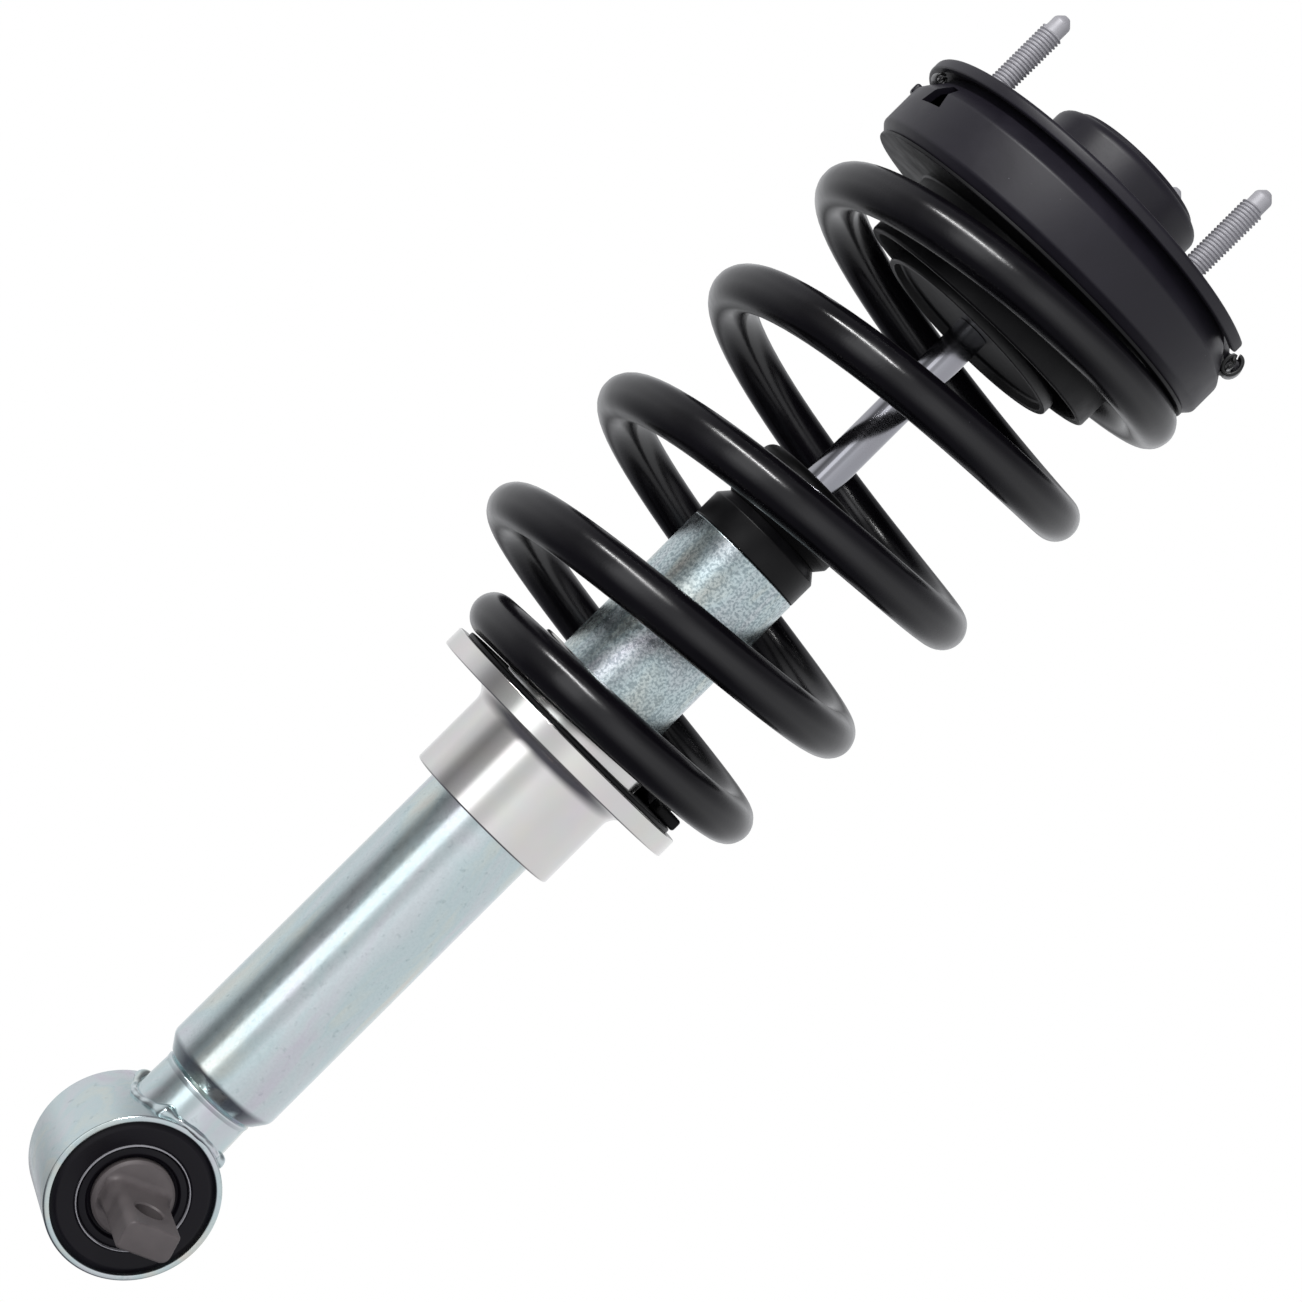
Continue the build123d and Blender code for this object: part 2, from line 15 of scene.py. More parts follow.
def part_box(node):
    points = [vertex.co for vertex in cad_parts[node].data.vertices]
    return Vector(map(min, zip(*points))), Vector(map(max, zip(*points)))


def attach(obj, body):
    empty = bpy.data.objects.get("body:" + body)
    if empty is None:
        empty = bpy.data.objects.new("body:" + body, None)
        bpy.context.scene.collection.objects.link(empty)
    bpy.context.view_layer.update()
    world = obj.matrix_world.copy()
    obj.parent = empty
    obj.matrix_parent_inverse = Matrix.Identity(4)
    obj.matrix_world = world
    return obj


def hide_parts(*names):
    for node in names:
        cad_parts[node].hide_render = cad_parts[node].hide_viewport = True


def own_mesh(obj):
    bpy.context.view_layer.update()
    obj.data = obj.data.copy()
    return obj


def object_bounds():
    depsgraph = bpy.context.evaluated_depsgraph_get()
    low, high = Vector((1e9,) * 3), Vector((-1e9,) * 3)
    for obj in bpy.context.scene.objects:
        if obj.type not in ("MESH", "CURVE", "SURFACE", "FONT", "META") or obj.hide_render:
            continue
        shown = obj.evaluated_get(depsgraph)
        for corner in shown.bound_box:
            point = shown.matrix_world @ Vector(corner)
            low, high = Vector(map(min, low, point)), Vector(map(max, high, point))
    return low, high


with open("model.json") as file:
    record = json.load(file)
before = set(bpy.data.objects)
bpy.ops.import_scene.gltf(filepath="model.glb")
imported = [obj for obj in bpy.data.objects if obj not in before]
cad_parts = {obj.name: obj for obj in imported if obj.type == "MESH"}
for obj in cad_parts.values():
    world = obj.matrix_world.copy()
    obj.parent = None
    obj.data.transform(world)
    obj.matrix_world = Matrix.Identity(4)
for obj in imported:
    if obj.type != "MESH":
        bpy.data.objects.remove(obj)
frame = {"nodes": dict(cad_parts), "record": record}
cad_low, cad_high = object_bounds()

MM = 0.001
print("CAD box, mm:", [round(v / MM, 1) for v in (*cad_low, *cad_high)])

# %% [markdown]
# The design model was drawn in millimetres, so the outlines below are in millimetres too, and
# one function turns them into Blender's metres. A round part's height and radius are read from
# the box around its node, so a change in the design moves the looks with it.
# %% Read sizes from the frame
def span(node):
    """Bottom, top and radius of an upright round node, in millimetres."""
    low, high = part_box(node)
    return low[2] / MM, high[2] / MM, (high[1] - low[1]) / 2 / MM


TUBE_LOW, TUBE_TOP, TUBE_R = span("damper_tube")
EYE_LOW, EYE_HIGH, _ = span("eye_ring")
EYE_Z = (EYE_LOW + EYE_HIGH) / 2
EYE_R = (EYE_HIGH - EYE_LOW) / 2
EYE_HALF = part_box("eye_ring")[1][1] / MM
SEAT_TILT = 3.7                 # degrees the spring seat leans
SEAT_RISE = 38.9                # direction in which it rises


def smooth(value, start, end):
    """Smooth step from 0 at start to 1 at end."""
    u = min(max((value - start) / (end - start), 0), 1)
    return u * u * (3 - 2 * u)


def seat_rise(x, y):
    """Height the leaning seat gains at a place, in the units of the place."""
    way = radians(SEAT_RISE)
    return tan(radians(SEAT_TILT)) * (x * cos(way) + y * sin(way))


print("eye centre at", round(EYE_Z, 1), "mm, tube radius", round(TUBE_R, 2), "mm")

# %% [markdown]
# ## Materials: a few small tools
# Paint charts give colours as sRGB hex values, but a renderer works in linear light, so one
# function converts them. A second one adds a shader node with its settings and links. A third
# starts a finish: a Principled shader with its constant values, and the object coordinates that
# patterns are drawn in. Those coordinates are metres, so a pattern whose grain is s millimetres
# wide has a scale of 1000 / s. A fourth wires a finish up: its colour, a roughness that wanders
# with one pattern, and a relief that follows another.
# %% Colour, node and material helpers
def linear(hex_colour):
    """Turn an sRGB hex colour into linear RGBA."""
    channels = [int(hex_colour[i:i + 2], 16) / 255 for i in (1, 3, 5)]
    lit = [c / 12.92 if c <= 0.04045 else ((c + 0.055) / 1.055) ** 2.4 for c in channels]
    return (*lit, 1.0)


def add_node(tree, kind, settings=None, links=None):
    """Add one node, set its values and wire its inputs."""
    node = tree.nodes.new(kind)
    for key, value in (settings or {}).items():
        if key == "stops":
            while len(node.color_ramp.elements) < len(value):
                node.color_ramp.elements.new(0.5)
            for element, (place, colour) in zip(node.color_ramp.elements, value):
                element.position = place
                element.color = linear(colour)
        elif isinstance(key, int) or key in node.inputs:
            node.inputs[key].default_value = value
        else:
            setattr(node, key, value)
    for key, source in (links or {}).items():
        tree.links.new(source, node.inputs[key])
    return node


def grain(size_mm):
    """Scale of a pattern whose grain is this many millimetres wide."""
    return 1 / (size_mm * MM)


def start_finish(name, colour, roughness, metallic=0.0):
    """New material: returns it with its tree, its shader and the place on the object."""
    material = bpy.data.materials.new(name)
    material.use_nodes = True
    tree = material.node_tree
    tree.nodes.clear()
    shader = add_node(tree, "ShaderNodeBsdfPrincipled", {
        "Base Color": linear(colour), "Roughness": roughness, "Metallic": metallic,
    })
    add_node(tree, "ShaderNodeOutputMaterial", links={"Surface": shader.outputs["BSDF"]})
    place = add_node(tree, "ShaderNodeTexCoord").outputs["Object"]
    material.diffuse_color = linear(colour)
    return material, tree, shader, place


def dress(tree, shader, colour, sheen, low, high, relief, depth):
    """Wire up a colour, a roughness that wanders from low to high, and a relief in millimetres."""
    rough = add_node(tree, "ShaderNodeMapRange", {
        "From Min": 0.3, "From Max": 0.7, "To Min": low, "To Max": high}, {"Value": sheen})
    bump = add_node(tree, "ShaderNodeBump", {"Strength": 1.0, "Distance": depth * MM}, {"Height": relief})
    tree.links.new(colour, shader.inputs["Base Color"])
    tree.links.new(rough.outputs["Result"], shader.inputs["Roughness"])
    tree.links.new(bump.outputs["Normal"], shader.inputs["Normal"])
    return rough.outputs["Result"], bump


print("mid grey in linear light:", round(linear("#808080")[0], 3))

# %% [markdown]
# ## Zinc plate
# The damper's tube, its neck and its eye are steel under electroplated zinc with a clear
# passivate. Zinc is a pale bluish metal, and the passivate is a film thin enough to tint it in
# patches of sea green, lilac and straw. A noise pattern stretched along the strut picks between
# those tints. Drawn tube is nearly smooth; a blasted forging or a weld is more grainy, so the
# grain's size and depth are arguments.
# %% Zinc-plated steel
TINT_PATCH = 22                 # width of a tinted patch in millimetres
TINTS = ((0.30, "#d9d6e0"), (0.43, "#d8e0e3"), (0.53, "#d0e0e2"), (0.62, "#dae3df"), (0.74, "#e3e0d8"))


def zinc_plate(name, grain_mm, depth, roughness, stretch=1.0, rough_above=None):
    material, tree, shader, place = start_finish(name, "#d3dade", roughness, metallic=1.0)
    long_place = add_node(tree, "ShaderNodeMapping", {"Scale": (1, 1, 1 / stretch)}, {"Vector": place})
    patches = add_node(tree, "ShaderNodeTexNoise", {
        "Scale": grain(TINT_PATCH), "Detail": 4.0, "Distortion": 0.8,
    }, {"Vector": long_place.outputs["Vector"]})
    tint = add_node(tree, "ShaderNodeValToRGB", {"stops": TINTS}, {"Fac": patches.outputs["Fac"]})
    spots = add_node(tree, "ShaderNodeTexNoise", {"Scale": grain(3.5), "Detail": 3.0, "Roughness": 0.65},
                     {"Vector": place})
    dull = add_node(tree, "ShaderNodeValToRGB", {"stops": [(0.22, "#a4abaf"), (0.40, "#ffffff")]},
                    {"Fac": spots.outputs["Fac"]})
    colour = add_node(tree, "ShaderNodeMixRGB", {"blend_type": "MULTIPLY", "Fac": 0.35},
                      {"Color1": tint.outputs["Color"], "Color2": dull.outputs["Color"]})
    fine = add_node(tree, "ShaderNodeTexNoise", {"Scale": grain(grain_mm), "Detail": 1.0}, {"Vector": place})
    rough, bump = dress(tree, shader, colour.outputs["Color"], spots.outputs["Fac"],
                        roughness - 0.05, roughness + 0.07, fine.outputs["Fac"], depth)
    if rough_above is not None:
        roughen(tree, shader, place, colour.outputs["Color"], rough, bump, rough_above, depth)
    return material


print(len(TINTS), "tints in patches", TINT_PATCH, "mm wide")

# %% [markdown]
# The top of the tube, inside the spring, is rougher than the rest, probably because nothing has
# to slide or show there. From a given height up the finish is duller, its relief is deeper, and
# zinc crystals show as fine grey specks. All three grow with one share that fades in over 16 mm.
# %% Rougher top of the tube
CRYSTAL = 1.1                   # width of a zinc crystal in millimetres
FADE = 8                        # half the height over which the roughness comes in


def roughen(tree, shader, place, colour, rough, bump, height_mm, depth):
    height = add_node(tree, "ShaderNodeSeparateXYZ", links={"Vector": place}).outputs["Z"]
    share = add_node(tree, "ShaderNodeMapRange", {
        "From Min": (height_mm - FADE) * MM, "From Max": (height_mm + FADE) * MM,
        "To Min": 0.08, "To Max": 1.0,
    }, {"Value": height}).outputs["Result"]
    more = add_node(tree, "ShaderNodeMath", {"operation": "MULTIPLY_ADD", 1: 0.10}, {0: share, 2: rough})
    deep = add_node(tree, "ShaderNodeMath", {"operation": "MULTIPLY", 1: depth * MM}, {0: share})
    crystals = add_node(tree, "ShaderNodeTexNoise", {"Scale": grain(CRYSTAL), "Detail": 1.0},
                        {"Vector": place})
    speckle = add_node(tree, "ShaderNodeValToRGB", {"stops": [(0.38, "#c8cccf"), (0.58, "#ffffff")]},
                       {"Fac": crystals.outputs["Fac"]})
    specked = add_node(tree, "ShaderNodeMixRGB", {"blend_type": "MULTIPLY"}, {
        "Fac": share, "Color1": colour, "Color2": speckle.outputs["Color"]})
    tree.links.new(specked.outputs["Color"], shader.inputs["Base Color"])
    tree.links.new(more.outputs["Value"], shader.inputs["Roughness"])
    tree.links.new(deep.outputs["Value"], bump.inputs["Distance"])


print("zinc crystals drawn", CRYSTAL, "mm wide")

# %% [markdown]
# ## Turned aluminium
# The lower spring perch is cut from bar on a lathe and left bare. The tool leaves fine lines
# that run round the part: on a cylinder they repeat with height, on a flat face with radius.
# Height plus radius changes along both, so a one-dimensional noise of that sum draws the lines
# on every face at once. Real feed marks are about 0.15 mm apart; they are drawn 1 mm apart,
# or the render would lose them.
# %% Turned aluminium
def along_turning(tree, place):
    """Height plus distance from the strut's axis, for lines that a lathe leaves."""
    flat = add_node(tree, "ShaderNodeVectorMath", {"operation": "MULTIPLY", 1: (1, 1, 0)}, {0: place})
    radius = add_node(tree, "ShaderNodeVectorMath", {"operation": "LENGTH"}, {0: flat.outputs["Vector"]})
    height = add_node(tree, "ShaderNodeSeparateXYZ", links={"Vector": place})
    total = add_node(tree, "ShaderNodeMath", {"operation": "ADD"},
                     {0: radius.outputs["Value"], 1: height.outputs["Z"]})
    return total.outputs["Value"]


def turned_metal(name, colour, roughness, line_mm, depth, cloud=0.12):
    material, tree, shader, place = start_finish(name, colour, roughness, metallic=1.0)
    lines = add_node(tree, "ShaderNodeTexNoise", {
        "noise_dimensions": "1D", "Scale": grain(line_mm), "Detail": 1.0, "Roughness": 0.7,
    }, {"W": along_turning(tree, place)})
    clouds = add_node(tree, "ShaderNodeTexNoise", {"Scale": grain(14), "Detail": 5.0}, {"Vector": place})
    shade = add_node(tree, "ShaderNodeMixRGB", {
        "blend_type": "MULTIPLY", "Fac": cloud, "Color1": linear(colour),
    }, {"Color2": clouds.outputs["Color"]})
    dress(tree, shader, shade.outputs["Color"], lines.outputs["Fac"],
          roughness * 0.95, roughness * 1.1, lines.outputs["Fac"], depth)
    return material


print("the noise of a line 1 mm apart has scale", round(grain(1)))

# %% [markdown]
# ## Black coatings
# Several blacks meet on a strut. The pressed mount is electrocoated: a thin, even, semi-gloss
# paint with a faint violet cast. The spring is powder coated: thicker, satin, with an
# orange-peel skin that breaks its highlights into grains. All get specks of dust and handling
# marks as small changes of roughness, because no real black part is evenly black. The gloss
# argument is how strongly the coating mirrors: 0.5 is clean paint, less is a dusty one.
# %% Black paint
SMEAR = 30                      # width of a handling mark in millimetres
SPECK_GAP = 9                   # from one speck of dust to the next


def black_paint(name, colour, rubbed, roughness, peel_mm, peel_depth, dust=0.5, gloss=0.5):
    material, tree, shader, place = start_finish(name, colour, roughness)
    shader.inputs["IOR"].default_value = 1.52
    shader.inputs["Specular IOR Level"].default_value = gloss
    peel = add_node(tree, "ShaderNodeTexNoise", {"Scale": grain(peel_mm), "Detail": 2.0}, {"Vector": place})
    smear = add_node(tree, "ShaderNodeTexNoise", {
        "Scale": grain(SMEAR), "Detail": 6.0, "Roughness": 0.62, "Distortion": 0.6}, {"Vector": place})
    specks = add_node(tree, "ShaderNodeTexVoronoi", {"Scale": grain(SPECK_GAP)}, {"Vector": place})
    dot = add_node(tree, "ShaderNodeValToRGB", {"stops": [(0.012, "#8a8a90"), (0.03, "#000000")]},
                   {"Fac": specks.outputs["Distance"]})
    worn = add_node(tree, "ShaderNodeMixRGB", {"Color1": linear(colour), "Color2": linear(rubbed)},
                    {"Fac": smear.outputs["Fac"]})
    dusty = add_node(tree, "ShaderNodeMixRGB", {"blend_type": "ADD", "Fac": dust},
                     {"Color1": worn.outputs["Color"], "Color2": dot.outputs["Color"]})
    dress(tree, shader, dusty.outputs["Color"], smear.outputs["Fac"],
          roughness - 0.05, roughness + 0.08, peel.outputs["Fac"], peel_depth)
    return material


print("a speck of dust every", SPECK_GAP, "mm")

# %% [markdown]
# ## Rubber, polyurethane and nylon
# Moulded rubber is almost black and matt, with the bloom of a mould skin: cloudy patches a
# little greyer than the rest. That bloom is powdery, so the skin mirrors only half as much as
# clean polymer. The bump stop is foamed polyurethane, duller still, with fine pores. The same
# recipe serves all of them with other grain sizes.
# %% Moulded soft parts
BLOOM = 12                      # width of a cloud of bloom in millimetres
DULL_SKIN = 0.25                # specular level; 0.5 would be clean polymer


def moulded(name, colour, bloom, roughness, grain_mm, depth):
    material, tree, shader, place = start_finish(name, colour, roughness)
    shader.inputs["Specular IOR Level"].default_value = DULL_SKIN
    clouds = add_node(tree, "ShaderNodeTexNoise", {"Scale": grain(BLOOM), "Detail": 7.0, "Roughness": 0.6},
                      {"Vector": place})
    shade = add_node(tree, "ShaderNodeMixRGB", {"Color1": linear(colour), "Color2": linear(bloom)},
                     {"Fac": clouds.outputs["Fac"]})
    skin = add_node(tree, "ShaderNodeTexNoise", {"Scale": grain(grain_mm), "Detail": 4.0}, {"Vector": place})
    dress(tree, shader, shade.outputs["Color"], clouds.outputs["Fac"],
          roughness - 0.08, roughness + 0.08, skin.outputs["Fac"], depth)
    return material


print("bloom in clouds", BLOOM, "mm wide")

# %% [markdown]
# ## Plain and forged steel
# Fasteners, washers and the bar pin are steel with thin coatings: dull grey zinc on the rolled
# studs, brown-grey phosphate on the forged bar. Such a layer of crystals scatters light and
# hides most of the metal, so these are only a fifth metallic, with a mottled colour and a rough,
# slightly pitted skin. Bare and sintered steel use the same recipe as full metals.
# %% Coated steel
MOTTLE = 6                      # width of a mottled patch in millimetres


def coated_steel(name, colour, mottle, roughness, metallic, pit_mm, depth):
    material, tree, shader, place = start_finish(name, colour, roughness, metallic)
    clouds = add_node(tree, "ShaderNodeTexNoise", {"Scale": grain(MOTTLE), "Detail": 4.0, "Roughness": 0.6},
                      {"Vector": place})
    shade = add_node(tree, "ShaderNodeMixRGB", {"Color1": linear(colour), "Color2": linear(mottle)},
                     {"Fac": clouds.outputs["Fac"]})
    pits = add_node(tree, "ShaderNodeTexNoise", {"Scale": grain(pit_mm), "Detail": 4.0}, {"Vector": place})
    dress(tree, shader, shade.outputs["Color"], clouds.outputs["Fac"],
          roughness - 0.07, roughness + 0.07, pits.outputs["Fac"], depth)
    return material


print("mottled patches", MOTTLE, "mm wide")

# %% [markdown]
# ## One finish for each kind of surface
# Every finish is made once, under the name that the design gives that surface. Then every part
# of the design model gets its own, also the parts that are only seen when the strut is apart.
# %% Make every finish once
FINISH = {
    "zinc_plated_tube": zinc_plate("zinc_plated_drawn_tube", 1.2, 0.03, 0.16, stretch=3.0, rough_above=-262),
    "zinc_plated_forging": zinc_plate("zinc_plated_forging", 4.5, 0.03, 0.20),
    "zinc_plated_weld": zinc_plate("zinc_plated_weld_bead", 2.0, 0.05, 0.15),
    "turned_aluminium": turned_metal("turned_aluminium", "#efedea", 0.16, 1.0, 0.005),
    "hard_chrome": turned_metal("hard_chrome", "#a9a9af", 0.12, 1.4, 0.00005, cloud=0.05),
    "black_ecoat": black_paint("black_electrocoat", "#141219", "#24212b", 0.40, 1.8, 0.015, 0.5, 0.36),
    "spring_clip_black": black_paint("black_spring_strip", "#060606", "#0c0c0e", 0.26, 2.0, 0.004, dust=0.1),
    "black_oxide_steel": black_paint("black_coated_pressing", "#060607", "#111013", 0.40, 1.5, 0.02),
    "black_powder_coat": black_paint("black_powder_coat", "#060507", "#100e14", 0.20, 1.2, 0.022, 0.1, 0.5),
    "black_rubber": moulded("moulded_black_rubber", "#050506", "#111014", 0.45, 0.8, 0.02),
    "bush_rubber": moulded("bush_rubber", "#08060c", "#15121b", 0.40, 0.9, 0.015),
    "seal_rubber": moulded("nitrile_seal_rubber", "#0a0a0a", "#111112", 0.45, 0.6, 0.01),
    "bumper_foam": moulded("foamed_polyurethane", "#050505", "#0b0a0c", 0.5, 0.7, 0.05),
    "black_plastic": moulded("moulded_nylon", "#050506", "#0b0a0d", 0.36, 0.9, 0.02),
    "ptfe_band": moulded("bronze_filled_ptfe", "#6b5a44", "#7d6a50", 0.5, 0.5, 0.01),
    "phosphated_stud_steel": coated_steel(
        "dull_zinc_stud_steel", "#a6a5aa", "#b8b7bc", 0.50, 0.2, 2.5, 0.004),
    "plain_steel": coated_steel("oiled_bright_steel", "#a3a3a6", "#8d8d90", 0.30, 1.0, 0.5, 0.01),
    "sintered_steel": coated_steel("sintered_steel", "#6d6d70", "#57575a", 0.5, 1.0, 0.3, 0.03),
    "forged_bar_steel": coated_steel("forged_phosphated_steel", "#5c5657", "#716a6a", 0.50, 0.2, 1.6, 0.03),
}
NODE_SLOT = {part["node"]: part["material_slot"] for part in frame["record"]["subparts"]}
for name, thing in frame["nodes"].items():
    thing.data.materials.clear()
    thing.data.materials.append(FINISH[NODE_SLOT[name]])
print(len(FINISH), "finishes on", len(frame["nodes"]), "nodes")

# %% [markdown]
# ## Turning an outline into a part
# Most of a strut is round, so most parts here are an outline spun round the axis. Each corner
# of an outline carries the radius that its edge is broken with: real parts have no knife edges,
# and a small radius is what catches the light. The function replaces each such corner with an
# arc worked out from the two sides that meet there.
# %% Outlines and spinning
def rounded(outline, arc_steps=6):
    """Replace each (radius, height, corner) point with an arc of that corner radius."""
    points = []
    count = len(outline)
    for i, (r, z, corner) in enumerate(outline):
        here = Vector((r, z))
        before = Vector(outline[i - 1][:2]) - here
        after = Vector(outline[(i + 1) % count][:2]) - here
        if corner == 0:
            points.append(here)
            continue
        half = before.angle(after) / 2
        reach = corner / tan(half)
        middle = here + (before.normalized() + after.normalized()).normalized() * corner / sin(half)
        first = here + before.normalized() * reach - middle
        last = here + after.normalized() * reach - middle
        turn = first.angle_signed(last)
        for step in range(arc_steps + 1):
            angle = turn * step / arc_steps
            points.append(middle + Matrix.Rotation(-angle, 2) @ first)
    return points


def finish_piece(name, mesh, node, body, sharp_above=40):
    """Put a mesh in the scene for a CAD node, with the node's finish, riding on its body."""
    piece = bpy.data.objects.new(name, mesh)
    bpy.context.scene.collection.objects.link(piece)
    mesh.shade_smooth()
    mesh.set_sharp_from_angle(angle=radians(sharp_above))
    mesh.materials.append(FINISH[NODE_SLOT[node]])
    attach(piece, body)
    return piece


def stored(form, name):
    """Mesh data from a finished bmesh, which is then freed."""
    mesh = bpy.data.meshes.new(name)
    form.to_mesh(mesh)
    form.free()
    return mesh


def spun_mesh(name, outline, sides=160, arc_steps=6):
    """Closed surface of revolution about Z from a closed outline in millimetres."""
    points = rounded(outline, arc_steps)
    form = bmesh.new()
    rings = []
    for k in range(sides):
        angle = 2 * pi * k / sides
        rings.append([form.verts.new((p.x * cos(angle) * MM, p.x * sin(angle) * MM, p.y * MM))
                      for p in points])
    count = len(points)
    for k in range(sides):
        ring, onward = rings[k], rings[(k + 1) % sides]
        for i in range(count):
            j = (i + 1) % count
            if points[i].x < 1e-6 and points[j].x < 1e-6:
                continue
            form.faces.new((ring[i], onward[i], onward[j], ring[j]))
    bmesh.ops.remove_doubles(form, verts=form.verts, dist=1e-7)
    bmesh.ops.recalc_face_normals(form, faces=form.faces)
    return stored(form, name)


ACROSS = Matrix.Translation((0, 0, EYE_Z * MM)) @ Matrix.Rotation(pi / 2, 4, "X")


def spun(name, node, body, outline, sides=160, warp=None, across=False, arc_steps=6):
    """Spin an outline into a piece that replaces a CAD node."""
    mesh = spun_mesh(name, outline, sides, arc_steps)
    if warp:
        for vertex in mesh.vertices:
            vertex.co = warp(vertex.co)
    if across:
        mesh.transform(ACROSS)
    piece = finish_piece(name, mesh, node, body)
    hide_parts(node)
    return piece


def block(name, size, place, turn=0.0):
    """Box used as a cutter: size and place in millimetres, turned about Z in degrees."""
    form = bmesh.new()
    bmesh.ops.create_cube(form, size=1.0)
    mesh = stored(form, name)
    scale = Matrix.Diagonal((*[s * MM for s in size], 1.0))
    shift = Matrix.Translation([c * MM for c in place])
    mesh.transform(Matrix.Rotation(radians(turn), 4, "Z") @ shift @ scale)
    return mesh


def cut(piece, cutter_mesh):
    """Cut a mesh out of a piece for good."""
    cutter = bpy.data.objects.new("cutter", cutter_mesh)
    bpy.context.scene.collection.objects.link(cutter)
    difference = piece.modifiers.new("cut", "BOOLEAN")
    difference.object = cutter
    difference.solver = "EXACT"
    seen = bpy.context.evaluated_depsgraph_get()
    done = bpy.data.meshes.new_from_object(piece.evaluated_get(seen))
    piece.modifiers.clear()
    old = piece.data
    piece.data = done
    bpy.data.meshes.remove(old)
    bpy.data.objects.remove(cutter)


one_round_corner = rounded([(0, 0, 2), (9, 0, 0), (9, 9, 0), (0, 9, 0)])
print("a rounded corner has", len(one_round_corner) - 3, "points")

# %% [markdown]
# ## Top mount: the plate
# The mount plate is pressed from 3.2 mm sheet with its rim turned down to stiffen it, and it has
# one notch in the rim where a long clip passes. The outline of the sheet is spun, and the notch
# is cut out with a block, as a punch would do it.
# %% Mount plate
PLATE_LOW, _, PLATE_R = span("mount_plate")
SHEET = 3.2
DOME_R = 35.7
plate = spun("mount_plate_pressing", "mount_plate", "upper_mount", [
    (DOME_R, 0, 0), (PLATE_R, 0, 1.9), (PLATE_R, PLATE_LOW, 0.8), (PLATE_R - SHEET, PLATE_LOW, 0.6),
    (PLATE_R - SHEET, -SHEET, 0.9), (DOME_R, -SHEET, 0),
], sides=240)
NOTCH_DEPTH = 8.6
NOTCH_ANGLE = -37.8
cut(plate, block("notch", (2 * NOTCH_DEPTH, 31, 20), (PLATE_R, 0, 0), NOTCH_ANGLE))
print("plate radius", round(PLATE_R, 1), "mm")

# %% [markdown]
# The dome over the rubber isolator is a deep pressing with a soft shoulder and a slightly raised
# crown. Its flange lies under the plate, so one closed outline holds crown, wall and flange.
# %% Dome over the isolator
_, DOME_TOP, _ = span("isolator_housing")
FLANGE_R = 44.0
WALL = 2.5
CROWN_STEP = 1.7
spun("isolator_dome", "isolator_housing", "upper_mount", [
    (0, DOME_TOP, 0), (29.7, DOME_TOP, 0.8), (30.2, DOME_TOP - CROWN_STEP, 0.4),
    (DOME_R, DOME_TOP - CROWN_STEP - 0.9, 4.6), (DOME_R, -SHEET + 0.1, 0),
    (FLANGE_R, -SHEET - 0.05, 0.5), (FLANGE_R, -SHEET - WALL, 0.5), (DOME_R - WALL, -SHEET - WALL, 1.0),
    (DOME_R - WALL, DOME_TOP - CROWN_STEP - WALL - 1, 3.0), (0, DOME_TOP - CROWN_STEP - WALL, 0),
], sides=144)
print("dome stands", round(DOME_TOP, 1), "mm above the plate")

# %% [markdown]
# ## Studs with rolled threads
# Three M10 x 1.5 studs hold the strut to the truck. A thread is one groove that climbs 1.5 mm
# per turn, so the shell is a small profile of one pitch carried along the helix: the grid's
# lines run along the crests and keep them crisp, where a grid of level rings would cut across
# them. Above the thread the stud runs out into a smooth lead-in point.
# %% Mount studs
STUD_CIRCLE_R = 60.0
STUD_ANGLES = (48.9, 168.9, 288.9)
THREAD_PITCH = 1.5
CREST_R = 4.95
ROOT_R = 4.15
POINT_R = 3.95
POINT_LENGTH = 6.6
_, STUD_TOP, _ = span("mount_studs")
THREAD_TOP = STUD_TOP - POINT_LENGTH


def thread_shell(form, sides=48):
    """Closed helical shell whose grid runs along the thread, so its crests stay crisp."""
    profile = [(0.00, ROOT_R), (0.10, ROOT_R), (0.44, CREST_R), (0.56, CREST_R), (0.90, ROOT_R)]
    turns = int(THREAD_TOP / THREAD_PITCH) - 1
    per_turn = len(profile)
    grid = []
    for n in range(turns * sides + 1):
        angle = 2 * pi * n / sides
        climb = THREAD_PITCH * n / sides
        column = []
        for share, radius in profile + [(1.0, ROOT_R)]:
            z = 0.4 + climb + share * THREAD_PITCH
            fade = min(max((THREAD_TOP - z) / 1.5, 0), 1)
            radius = POINT_R - 0.05 + (radius - POINT_R + 0.05) * fade
            column.append(form.verts.new((radius * cos(angle) * MM, radius * sin(angle) * MM, z * MM)))
        grid.append(column)
    for column, onward in zip(grid, grid[1:]):
        for j in range(per_turn):
            form.faces.new((column[j], onward[j], onward[j + 1], column[j + 1]))
    bottom = [grid[n][0] for n in range(sides + 1)] + grid[0][per_turn - 1:0:-1]
    top = [column[per_turn] for column in grid[-sides - 1:]]
    top += [grid[-1][j] for j in range(per_turn - 1, 0, -1)]
    for rim, z in ((bottom, 0.4 + THREAD_PITCH / 2), (top, THREAD_TOP - 1.5)):
        centre = form.verts.new((0, 0, z * MM))
        for i, spot in enumerate(rim):
            form.faces.new((spot, rim[(i + 1) % len(rim)], centre))
    bmesh.ops.remove_doubles(form, verts=form.verts, dist=1e-6)


def stud_mesh(name):
    """One stud about its own axis: smooth core with head and point, and the thread round it."""
    head_low = -SHEET - 2.4
    core = spun_mesh(name, [
        (0, head_low, 0), (8.0, head_low, 0.5), (8.0, -SHEET, 0.4), (5.3, -SHEET, 0), (5.3, -0.3, 0.2),
        (POINT_R, -0.1, 0), (POINT_R, STUD_TOP - 2.6, 2.2), (1.4, STUD_TOP, 0.5), (0, STUD_TOP, 0),
    ], sides=48)
    form = bmesh.new()
    thread_shell(form)
    form.from_mesh(core)
    bmesh.ops.recalc_face_normals(form, faces=form.faces)
    form.to_mesh(core)
    form.free()
    return core


